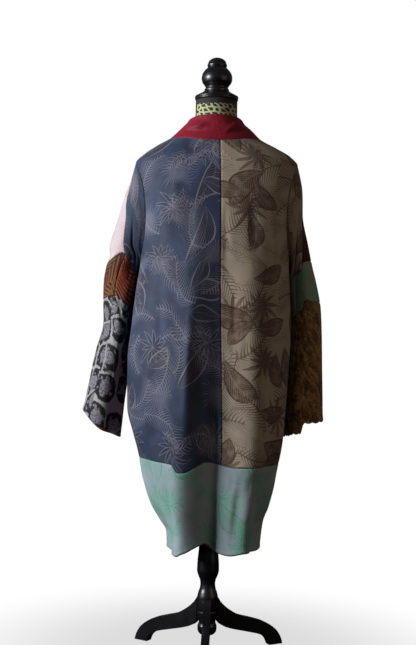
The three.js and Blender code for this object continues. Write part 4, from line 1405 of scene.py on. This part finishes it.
def leopard(n, uv, colours):
    """Dark fuzzy rings round mottled middles, on a light ground that shows widest at the corners."""
    moved = uv
    for scale, by in ((26.0, 0.022), (110.0, 0.008)):
        warp = n.add("TexNoise", {"Vector": uv, "Scale": scale, "Detail": 2.0}).outputs["Color"]
        shift = n.vector("SUBTRACT", warp, (0.5, 0.5, 0.5))
        moved = n.vector("ADD", moved, n.vector("MULTIPLY", shift, (by, by, by)))
    shape = {"Vector": n.vector("MULTIPLY", moved, (1.0, 0.9, 1.0)), "Scale": 17.0, "Randomness": 0.7}
    edge = n.cells(shape, feature="DISTANCE_TO_EDGE")["Distance"]
    reach = n.cells(shape)["Distance"]
    fuzz = n.math("MULTIPLY", n.math("SUBTRACT", n.noise(uv, 420.0, 2.0), 0.5), 0.14)
    edge = n.math("ADD", edge, fuzz)
    corner = n.ramp(n.math("ADD", reach, fuzz), 0.56, 0.6)
    net = n.math("MAXIMUM", n.inverse(n.ramp(edge, 0.035, 0.065)), corner)
    gap = n.ramp(n.noise(uv, 52.0, 1.0), 0.55, 0.6)
    mottle = n.ramp(n.noise(uv, 240.0, 4.0), 0.36, 0.62)
    middle = n.blend(n.math("MULTIPLY_ADD", mottle, 0.75, 0.2), colours.spot, colours.spot_middle)
    ring = n.ramp(n.math("ADD", reach, n.math("MULTIPLY", gap, -0.16)), 0.24, 0.31)
    spot = n.blend(ring, middle, colours.spot)
    ground = n.blend(n.math("MULTIPLY", mottle, 0.3), colours.leopard, colours.spot_middle)
    return n.blend(net, spot, ground), net


def stripe(n, uv, colours):
    """Uneven stripes of dark red along the cloth."""
    u, _, _ = n.parts(uv)
    wobble = n.math("MULTIPLY_ADD", n.noise(uv, 30.0, 2.0), 0.006, u)
    phase = n.math("FRACT", n.math("DIVIDE", wobble, 0.0115))
    red = n.ramp(n.math("ABSOLUTE", n.math("SUBTRACT", phase, 0.5)), 0.16, 0.22)
    return n.blend(red, colours.stripe_red, colours.stripe), red


def lace(n, uv, colours):
    """Corded lace over a dark ground, with small gold glints painted into its colour as highlights."""
    wave = {"Vector": uv, "Scale": 26.0, "Distortion": 9.0, "Detail": 2.0, "Detail Scale": 1.4}
    cord = n.ramp(n.add("TexWave", wave, bands_direction="DIAGONAL").outputs["Fac"], 0.55, 0.8)
    flower = n.math("MULTIPLY", n.cells({"Vector": uv, "Scale": 55.0})["Distance"], 2.6)
    petal = n.math("ABSOLUTE", n.math("SUBTRACT", n.math("FRACT", flower), 0.5))
    raised = n.math("MAXIMUM", cord, n.math("MULTIPLY", n.ramp(petal, 0.2, 0.4), 0.6))
    u, v, _ = n.parts(uv)
    across = n.math("MULTIPLY_ADD", v, 1.1, n.math("MULTIPLY", u, 1.4))
    along = n.math("MULTIPLY_ADD", v, 0.6, n.math("MULTIPLY", u, -0.6))
    slanted = n.add("CombineXYZ", {"X": across, "Y": along}).outputs[0]
    blotch = n.ramp(n.noise(slanted, 30.0, 4.0), 0.43, 0.55)
    dim = n.blend(blotch, scaled_colour(colours.lace, 0.35), colours.lace)
    corded = n.math("MULTIPLY", raised, n.math("MULTIPLY_ADD", blotch, 0.45, 0.3))
    colour = n.blend(corded, dim, colours.lace_cord)
    # painted highlights: sparse bright gold dots, most where the blotches are light, standing in for light
    # caught by the lace's gold threads; they also stand up a little in the bump
    glint_cells = n.cells({"Vector": uv, "Scale": 210.0})
    chance = n.add("SeparateColor", {"Color": glint_cells["Color"]}).outputs[0]
    near = n.math("LESS_THAN", glint_cells["Distance"], 0.42)
    seldom = n.math("MULTIPLY_ADD", blotch, -0.045, 0.995)
    glint = n.math("MULTIPLY", n.math("GREATER_THAN", chance, seldom), near)
    height = n.math("MULTIPLY_ADD", raised, 3.0, n.math("MULTIPLY", glint, 3.0))
    return n.blend(glint, colour, colours.gold), height


def orange(n, uv, colours):
    return n.blend(n.noise(uv, 60.0, 3.0), colours.orange, scaled_colour(colours.orange, 0.7)), None


def mustard(n, uv, colours):
    return n.blend(n.noise(uv, 60.0, 3.0), colours.mustard, scaled_colour(colours.mustard, 0.7)), None


def inside(n, uv, colours):
    return n.blend(n.noise(uv, 18.0, 4.0), colours.inside, scaled_colour(colours.inside, 0.6)), None


# How each cloth is made: its print, its roughness, its sheen, and how deep its print and threads are.
CLOTHS = {
    "blue": (blue, 0.62, 0.08, 0.12, 0.25),
    "taupe": (taupe, 0.72, 0.08, 0.1, 0.3),
    "crimson": (crimson, 0.6, 0.08, 0, 0.25),
    "plum": (plum, 0.7, 0.08, 0.1, 0.3),
    "slate": (slate, 0.7, 0.08, 0.1, 0.3),
    "band": (band, 0.68, 0.08, 0.1, 0.3),
    "pale": (pale, 0.7, 0.08, 0.05, 0.3),
    "rust": (rust, 0.74, 0.08, 0.08, 0.35),
    "amber": (amber, 0.74, 0.08, 0.08, 0.35),
    "leopard": (leopard, 0.8, 0.08, 0.1, 0.45),
    "stripe": (stripe, 0.8, 0.08, 0.05, 0.4),
    "green_grey": (green_grey, 0.7, 0.08, 0.1, 0.3),
    "lace": (lace, 0.55, 0.08, 0.5, 0.4),
    "orange": (orange, 0.75, 0.08, 0, 0.4),
    "mustard": (mustard, 0.75, 0.08, 0, 0.4),
    "inside": (inside, 0.85, 0.05, 0, 0.4),
}
CLOTH_FINISH = {"crumple": 2.2, "thread_height": 0.0009, "sheen_roughness": 0.45, "specular": 0.22}


def cloth_material(context, cloth):
    """The material of a cloth: its print, threads, seams and a cloudy unevenness."""
    name = "sewn " + cloth
    if name in bpy.data.materials:
        return bpy.data.materials[name]
    make_print, roughness, sheen, print_depth, thread_depth = CLOTHS[cloth]
    material = bpy.data.materials.new(name)
    material.use_nodes = True
    n = Nodes(material.node_tree)
    shader = material.node_tree.nodes["Principled BSDF"]
    uv = n.add("UVMap", uv_map="cloth").outputs[0]
    edges = n.add("UVMap", uv_map="edges").outputs[0]
    colour, raised = make_print(n, uv, context.scene.coat_colours)
    threads = n.group(weave(), {"Vector": uv})
    seams = n.group(sewing(), {"Vector": uv, "Edges": edges})
    cloud = n.ramp(threads["Cloud"], 0.3, 0.75)
    # shade: the dye's cloudy tone, darkened beside the seams by the painted seam shade
    shade = n.math("MULTIPLY_ADD", cloud, 0.2, 0.9)
    if cloth != "crimson":  # the collar's own rolls shade its edges, so it gets no painted seam shade
        shade = n.math("MULTIPLY", shade, seams["Shade"])
    grey = n.add("CombineColor", {"Red": shade, "Green": shade, "Blue": shade}).outputs[0]
    n.feed(shader.inputs["Base Color"], n.blend(1.0, colour, grey, "MULTIPLY"))
    n.feed(shader.inputs["Roughness"], n.math("MULTIPLY_ADD", cloud, 0.1, roughness - 0.05))
    height = n.math("MULTIPLY_ADD", threads["Height"], thread_depth, seams["Height"])
    if raised is not None:
        height = n.math("MULTIPLY_ADD", raised, print_depth, height)
    crumple = n.noise(uv, 38.0, 3.0)
    height = n.math("MULTIPLY_ADD", crumple, CLOTH_FINISH["crumple"], height)
    bump = n.add("Bump", {"Height": height, "Strength": 0.6, "Distance": CLOTH_FINISH["thread_height"]})
    n.feed(shader.inputs["Normal"], bump.outputs[0])
    shader.inputs["Sheen Weight"].default_value = sheen
    shader.inputs["Sheen Roughness"].default_value = CLOTH_FINISH["sheen_roughness"]
    shader.inputs["Specular IOR Level"].default_value = CLOTH_FINISH["specular"]
    return material


# ---- dress form and stand ----


def painted_wood(context):
    finish = context.scene.stand_finish
    material = bpy.data.materials.get("black paint")
    if material:
        return material
    material = bpy.data.materials.new("black paint")
    material.use_nodes = True
    n = Nodes(material.node_tree)
    shader = material.node_tree.nodes["Principled BSDF"]
    where = n.add("TexCoord").outputs["Object"]
    wear = n.group(paint_wear(), {"Vector": where})
    worn = scaled_colour(finish.wood, 2.6)
    n.feed(shader.inputs["Base Color"], n.blend(n.math("MULTIPLY", wear["Dust"], 0.5), finish.wood, worn))
    n.feed(shader.inputs["Roughness"], n.math("MULTIPLY_ADD", wear["Dull"], 0.22, 0.24))
    bump = n.add("Bump", {"Height": wear["Height"], "Strength": 0.35, "Distance": 0.0004})
    n.feed(shader.inputs["Normal"], bump.outputs[0])
    shader.inputs["Coat Roughness"].default_value = 0.2
    shader.inputs["Coat Weight"].default_value = 0.25
    return material


# The net printed on the neck: its top edge and how much that wavers, in metres, how far it goes round to
# each side of the back in radians, and how many cells it has in a metre.
NET = {"top": 1.363, "wave": 0.007, "half_turn": 1.22, "cells": 66.0}
NECK_RADIUS = 0.052


def form_cloth(context):
    """Black cloth, with a net of cream lines printed round the back of the neck."""
    finish = context.scene.stand_finish
    material = bpy.data.materials.new("form covering")
    material.use_nodes = True
    n = Nodes(material.node_tree)
    shader = material.node_tree.nodes["Principled BSDF"]
    uv = n.add("UVMap", uv_map="cloth").outputs[0]
    u, v, _ = n.parts(uv)
    across = n.math("MULTIPLY_ADD", v, 0.7, u)
    slanted = n.add("CombineXYZ", {"X": across, "Y": n.math("MULTIPLY", v, 1.5)}).outputs[0]
    shape = {"Vector": slanted, "Scale": NET["cells"], "Randomness": 0.75}
    line = n.inverse(n.ramp(n.cells(shape, feature="DISTANCE_TO_EDGE")["Distance"], 0.17, 0.21))
    ragged = n.math("MULTIPLY_ADD", n.noise(uv, 160.0, 2.0), NET["wave"] * 2, v)
    below = n.math("LESS_THAN", ragged, NET["top"] + NET["wave"])
    behind = n.math("LESS_THAN", n.math("ABSOLUTE", u), NET["half_turn"] * NECK_RADIUS)
    mask = n.product(line, below, behind)
    threads = n.group(weave(), {"Vector": uv, "Thread": 0.0011})
    n.feed(shader.inputs["Base Color"], n.blend(mask, finish.form, finish.net))
    n.feed(shader.inputs["Roughness"], n.math("MULTIPLY_ADD", threads["Cloud"], 0.12, 0.72))
    bump = n.add("Bump", {"Height": threads["Height"], "Strength": 0.4, "Distance": 0.0003})
    n.feed(shader.inputs["Normal"], bump.outputs[0])
    shader.inputs["Sheen Weight"].default_value = 0.15
    return material


def rest_radius(angle, height):
    """The farthest that the form may reach under the cloth that rests on its shoulders."""
    across = body_point(angle + 0.01, height) - body_point(angle - 0.01, height)
    along = body_point(angle, height + 2) - body_point(angle, height - 2)
    out = np.cross(across, along)
    level = np.hypot(out[..., 0], out[..., 1]) / np.linalg.norm(out, axis=-1)
    under_collar = (height > NECK - NECK_DIP) | (np.cos(angle) < 0)
    wall = np.where(under_collar, WALL["collar"], WALL["cloth"]) + SHOULDER_REST
    limit = body_radius(angle, height) - wall / level
    return np.where((height > COLLAR_BACK["height"][0]) | (height < SHOULDER - 20), np.inf, limit)


def torso_points():
    """The torso's padding, with its lower edge rounded off."""
    angle = np.linspace(-math.pi, math.pi, 121)[:, None]
    height = np.concatenate([np.linspace(742, 752, 5), np.linspace(757, 1377, 118)])[None, :]
    ring = section_at(TORSO, "height", height)
    shape = {"left": ring["side"], "right": ring["side"], **ring}
    angle, height = np.broadcast_arrays(angle, height)
    radius = np.minimum(ring_radius(angle, shape), rest_radius(angle, height))
    return level_point(angle, height, radius)


def close_ends(mesh):
    """Fills the two open rings of a turned or lofted piece."""
    shape = bmesh.new()
    shape.from_mesh(mesh)
    rim = [edge for edge in shape.edges if edge.is_boundary]
    bmesh.ops.edgeloop_fill(shape, edges=rim)
    bmesh.ops.recalc_face_normals(shape, faces=shape.faces)
    shape.to_mesh(mesh)
    shape.free()


def turned_points(profile):
    """A smooth profile turned about the upright axis."""
    heights = profile["height"]
    steps = [np.linspace(a, b, TURNED_STEPS, endpoint=False) for a, b in zip(heights, heights[1:])]
    height = np.append(np.concatenate(steps), heights[-1])[None, :]
    angle = np.linspace(-math.pi, math.pi, TURNED_SIDES + 1)[:, None]
    radius = follow(profile, "height", "radius", height) + 0 * angle
    return level_point(angle, height, radius)


def ring_mesh(name, points, smooth_until=40):
    """A mesh of a grid that closes on itself, with its ends filled."""
    across, along = points.shape[:2]
    mesh = bpy.data.meshes.new(name)
    vertices = (points[:-1] * MM + AXIS).reshape(-1, 3)
    mesh.from_pydata(vertices.tolist(), [], grid_faces(across - 1, along, True, 1).tolist())
    angle = np.arctan2(points[..., 0], -points[..., 1])
    angle[0] = -math.pi
    angle[-1] = math.pi
    radius = np.hypot(points[..., 0], points[..., 1])
    write_uv(mesh, "cloth", angle * radius, points[..., 2], 1)
    close_ends(mesh)
    mesh.polygons.foreach_set("use_smooth", [True] * len(mesh.polygons))
    mesh.set_sharp_from_angle(angle=math.radians(smooth_until))
    return mesh


def edge_curve(points):
    """A smooth curve through the points of a leg's edge."""
    points = np.array(points, float)
    padded = np.concatenate([points[:1], points, points[-1:]])
    curve = []
    for i in range(len(points) - 1):
        a, b, c, d = padded[i : i + 4]
        for t in np.linspace(0, 1, LEG_STEPS, endpoint=False):
            straight = 2 * b + (c - a) * t
            bend = (2 * a - 5 * b + 4 * c - d) * t**2 + (3 * b - a - 3 * c + d) * t**3
            curve.append((straight + bend) / 2)
    return curve + [points[-1]]


def leg_mesh(name, angle):
    """A leg sawn from a plank, standing along its own reach."""
    outline = edge_curve(LEG_UPPER) + edge_curve(LEG_LOWER)
    turn = math.radians(angle)
    reach = np.array([math.cos(turn), math.sin(turn), 0])
    aside = np.array([-math.sin(turn), math.cos(turn), 0]) * LEG_THICKNESS / 2
    shape = bmesh.new()
    faces = []
    for way in (-1, 1):
        corners = [(reach * x + aside * way + np.array([0, 0, z])) * MM + AXIS for x, z in outline]
        faces.append([shape.verts.new(corner) for corner in corners])
    count = len(outline)
    shape.faces.new(faces[0])
    shape.faces.new(faces[1][::-1])
    for i in range(count):
        j = (i + 1) % count
        shape.faces.new((faces[0][j], faces[0][i], faces[1][i], faces[1][j]))
    bmesh.ops.recalc_face_normals(shape, faces=shape.faces)
    mesh = bpy.data.meshes.new(name)
    shape.to_mesh(mesh)
    shape.free()
    mesh.polygons.foreach_set("use_smooth", [True] * len(mesh.polygons))
    return mesh


# ---- operators ----


class COAT_OT_back_panels(bpy.types.Operator):
    """Sew the two back panels, which meet at the centre-back seam"""

    bl_idname = "coat.back_panels"
    bl_label = "Back panels"

    def execute(self, context):
        edges = ("seam", "seam", "seam", "seam")
        for side, cloth in (("left", "blue"), ("right", "taupe")):
            points = body_panel(side, back_angle, RUNS["back"])
            sewn_piece(context, "back_" + side, points, SIDES[side], cloth, edges)
        return {"FINISHED"}


class COAT_OT_front_panels(bpy.types.Operator):
    """Sew the two front panels, from the side seams to the collar"""

    bl_idname = "coat.front_panels"
    bl_label = "Front panels"

    def execute(self, context):
        edges = ("seam", "seam", "seam", "seam")
        for side, cloth in (("left", "plum"), ("right", "slate")):
            points = body_panel(side, front_angle, RUNS["front"])
            sewn_piece(context, "front_" + side, points, SIDES[side], cloth, edges)
        return {"FINISHED"}


class COAT_OT_hem_bands(bpy.types.Operator):
    """Sew the band round the hem and the facing behind its edge"""

    bl_idname = "coat.hem_bands"
    bl_label = "Hem bands"

    def execute(self, context):
        edges = ("seam", "seam", "hem", "seam")
        sewn_piece(context, "back_hem_band", hem_band(back_band_angles()), 1, "band", edges)
        for side in SIDES:
            angles = front_angle(side, BAND_TOP, shares(RUNS["front"]))
            sewn_piece(context, "front_hem_band_" + side, hem_band(angles), SIDES[side], "band", edges)
        sewn_piece(context, "hem_facing", hem_facing_points(), 1, "mustard", ("", "", "", ""))
        return {"FINISHED"}


class COAT_OT_collar(bpy.types.Operator):
    """Sew the doubled collar, in two halves that meet at the centre back"""

    bl_idname = "coat.collar"
    bl_label = "Collar"

    def execute(self, context):
        edges = ("flat", "hem", "seam", "hem")
        for side in SIDES:
            points = collar_points(side)
            sewn_piece(context, "collar_" + side, points, SIDES[side], "crimson", edges, double=True)
        return {"FINISHED"}


SLEEVE_CLOTHS = {
    "left": {"upper": ("blue", "pale"), "middle": ("rust", "amber"), "lower": "leopard"},
    "right": {"upper": ("taupe", "stripe"), "middle": ("green_grey", "green_grey"), "lower": "lace"},
}


class COAT_OT_sleeves(bpy.types.Operator):
    """Sew the pieced sleeves, each with two halves above, two between and one round the cuff"""

    bl_idname = "coat.sleeves"
    bl_label = "Sleeves"

    def execute(self, context):
        scallop = context.scene.coat_sizes.scallop / MM
        seams = ("seam", "seam", "seam", "seam")
        for side, cloths in SLEEVE_CLOTHS.items():
            for stretch, first, last in (("upper", None, "upper"), ("middle", "upper", "middle")):
                for half, start, cloth in zip(("back", "front"), (0, math.pi), cloths[stretch]):
                    points = sleeve_half(side, start, first, last, RUNS[stretch])
                    node = f"sleeve_{side}_{stretch}_{half}"
                    sewn_piece(context, node, points, SIDES[side], cloth, seams)
            node = f"sleeve_{side}_lower"
            points = lower_sleeve(side, scallop)
            edges = ("", "", "seam", "hem")
            sewn_piece(context, node, points, SIDES[side], cloths["lower"], edges, closed=True)
        facing = lower_sleeve("left", scallop, **CUFF_FACING)
        sewn_piece(context, "sleeve_left_cuff_facing", facing, -1, "orange", ("", "", "", ""), closed=True)
        return {"FINISHED"}


class STAND_OT_torso(bpy.types.Operator):
    """Make the padded torso of the dress form"""

    bl_idname = "stand.torso"
    bl_label = "Torso"

    def execute(self, context):
        mesh = ring_mesh("form_torso_padding", torso_points())
        place("form_torso_padding", mesh, [form_cloth(context)], ["form_torso"])
        return {"FINISHED"}


class STAND_OT_turned_pieces(bpy.types.Operator):
    """Turn the neck cap, finial, column and hub"""

    bl_idname = "stand.turned_pieces"
    bl_label = "Turned pieces"

    def execute(self, context):
        for node, profile in TURNED.items():
            mesh = ring_mesh(node + "_turning", turned_points(profile), 50)
            place(node + "_turning", mesh, [painted_wood(context)], [node])
        return {"FINISHED"}


class STAND_OT_legs(bpy.types.Operator):
    """Saw the three curved legs and round their edges"""

    bl_idname = "stand.legs"
    bl_label = "Legs"

    def execute(self, context):
        for node, angle in LEG_ANGLES.items():
            mesh = leg_mesh(node + "_plank", angle)
            piece = place(node + "_plank", mesh, [painted_wood(context)], [node])
            rounding = piece.modifiers.new("Rounding", "BEVEL")
            rounding.width = context.scene.stand_finish.leg_round
            rounding.segments = 3
            rounding.limit_method = "ANGLE"
            rounding.angle_limit = math.radians(50)
            rounding.harden_normals = True
        return {"FINISHED"}


FLOOR = {"radius": 9.0, "rings": 40, "sides": 64, "white_from": 0.22, "white_by": 0.8, "glow": 0.72}
LOOK_HEIGHT = 0.8  # the height at which the lamps point

# Where each lamp stands from the column, how wide it is, and its colour.
LAMPS = {
    "key": {"aside": -2.55, "behind": 1.0, "height": 1.6, "size": 1.2, "tint": (0.95, 0.97, 1)},
    "fill": {"aside": 2.2, "behind": 1.6, "height": 1.2, "size": 1.8, "tint": (1, 0.72, 0.5)},
}


def floor_mesh():
    """A wide disc, with finer rings near the object."""
    angle = np.linspace(-math.pi, math.pi, FLOOR["sides"] + 1)[:, None]
    radius = FLOOR["radius"] * np.linspace(0.0005, 1, FLOOR["rings"])[None, ::-1] ** 2 / MM
    return ring_mesh("floor", level_point(angle, np.zeros_like(radius), radius + 0 * angle))


def floor_material():
    """Pale and matt under the object, fading into the white all round."""
    material = bpy.data.materials.new("floor")
    material.use_nodes = True
    n = Nodes(material.node_tree)
    shader = material.node_tree.nodes["Principled BSDF"]
    where = n.add("TexCoord").outputs["Object"]
    x, y, _ = n.parts(n.vector("SUBTRACT", where, tuple(AXIS)))
    reach = n.math("SQRT", n.math("ADD", n.math("MULTIPLY", x, x), n.math("MULTIPLY", y, y)))
    white = n.ramp(reach, FLOOR["white_from"], FLOOR["white_by"])
    grain = n.math("MULTIPLY_ADD", n.noise(where, 40.0, 3.0), 0.03, 0.86)
    ground = n.add("CombineColor", {"Red": grain, "Green": grain, "Blue": grain}).outputs[0]
    n.feed(shader.inputs["Base Color"], n.blend(white, ground, (0.0, 0.0, 0.0, 1)))
    glow = n.blend(white, (FLOOR["glow"], FLOOR["glow"], FLOOR["glow"], 1), (1, 1, 1, 1))
    seen = n.add("LightPath").outputs["Is Camera Ray"]
    n.feed(shader.inputs["Emission Color"], n.blend(seen, (0, 0, 0, 1), glow))
    shader.inputs["Emission Strength"].default_value = 1.0
    shader.inputs["Roughness"].default_value = 0.9
    shader.inputs["Specular IOR Level"].default_value = 0.0
    return material


def area_light(name, power):
    """A square lamp that points at the middle of the object."""
    lamp = LAMPS[name]
    light = bpy.data.lights.new(name, "AREA")
    light.size = lamp["size"]
    light.energy = power
    light.color = lamp["tint"]
    holder = bpy.data.objects.new(name, light)
    place_at = np.array([AXIS[0] + lamp["aside"], AXIS[1] - lamp["behind"], lamp["height"]])
    holder.location = place_at
    way = np.array([AXIS[0], AXIS[1], LOOK_HEIGHT]) - place_at
    holder.rotation_euler = (math.acos(-way[2] / np.linalg.norm(way)), 0, math.atan2(-way[0], way[1]))
    bpy.context.scene.collection.objects.link(holder)


def paint_world(scene, strength):
    """White behind the object and a dim even light on it."""
    world = bpy.data.worlds.new("studio")
    scene.world = world
    world.use_nodes = True
    n = Nodes(world.node_tree)
    light = world.node_tree.nodes["Background"]
    light.inputs["Color"].default_value = (0.9, 0.95, 1, 1)
    light.inputs["Strength"].default_value = strength
    behind = n.add("Background", {"Color": (1, 1, 1, 1), "Strength": 1.0})
    seen = n.add("LightPath").outputs["Is Camera Ray"]
    both = n.add("MixShader", {0: seen, 1: light.outputs[0], 2: behind.outputs[0]})
    n.feed(world.node_tree.nodes["World Output"].inputs["Surface"], both.outputs[0])


class COAT_OT_stage(bpy.types.Operator):
    """Set the floor, the lights and the camera"""

    bl_idname = "coat.stage"
    bl_label = "Stage"

    def execute(self, context):
        scene = context.scene
        stage = scene.stage_settings
        mesh = floor_mesh()
        mesh.materials.append(floor_material())
        floor = bpy.data.objects.new("floor", mesh)
        scene.collection.objects.link(floor)
        area_light("key", stage.key)
        area_light("fill", stage.fill)
        paint_world(scene, stage.sky)
        camera = bpy.data.objects.new("camera", bpy.data.cameras.new("camera"))
        camera.data.lens = stage.lens
        camera.location = (AXIS[0] - stage.aside, AXIS[1] - stage.distance, stage.eye)
        camera.rotation_euler = (math.pi / 2, -stage.roll, 0)
        scene.collection.objects.link(camera)
        scene.camera = camera
        scene.view_settings.view_transform = "Standard"
        return {"FINISHED"}


OPERATORS = (
    COAT_OT_stage,
    COAT_OT_back_panels,
    COAT_OT_front_panels,
    COAT_OT_hem_bands,
    COAT_OT_collar,
    COAT_OT_sleeves,
    STAND_OT_torso,
    STAND_OT_turned_pieces,
    STAND_OT_legs,
)


class COAT_PT_panel(bpy.types.Panel):
    """Lists the coat's settings and the steps that make it"""

    bl_label = "Patchwork coat"
    bl_idname = "COAT_PT_panel"
    bl_space_type = "VIEW_3D"
    bl_region_type = "UI"
    bl_category = "Coat"

    def draw(self, context):
        for settings in SETTINGS:
            box = self.layout.box()
            group = getattr(context.scene, settings)
            for name in group.__annotations__:
                box.prop(group, name)
        for operator in OPERATORS:
            self.layout.operator(operator.bl_idname)


SETTINGS = {
    "coat_sizes": CoatSizes,
    "coat_colours": CoatColours,
    "stand_finish": StandFinish,
    "stage_settings": StageSettings,
}


def register():
    for group in (*SETTINGS.values(), *OPERATORS, COAT_PT_panel):
        bpy.utils.register_class(group)
    for name, group in SETTINGS.items():
        setattr(bpy.types.Scene, name, PointerProperty(type=group))


def unregister():
    for name in SETTINGS:
        delattr(bpy.types.Scene, name)
    for group in (COAT_PT_panel, *OPERATORS, *SETTINGS.values()):
        bpy.utils.unregister_class(group)


def main():
    register()
    bpy.ops.coat.stage()
    bpy.ops.coat.back_panels()
    bpy.ops.coat.front_panels()
    bpy.ops.coat.hem_bands()
    bpy.ops.coat.collar()
    bpy.ops.coat.sleeves()
    bpy.ops.stand.torso()
    bpy.ops.stand.turned_pieces()
    bpy.ops.stand.legs()


if __name__ == "__main__":
    main()
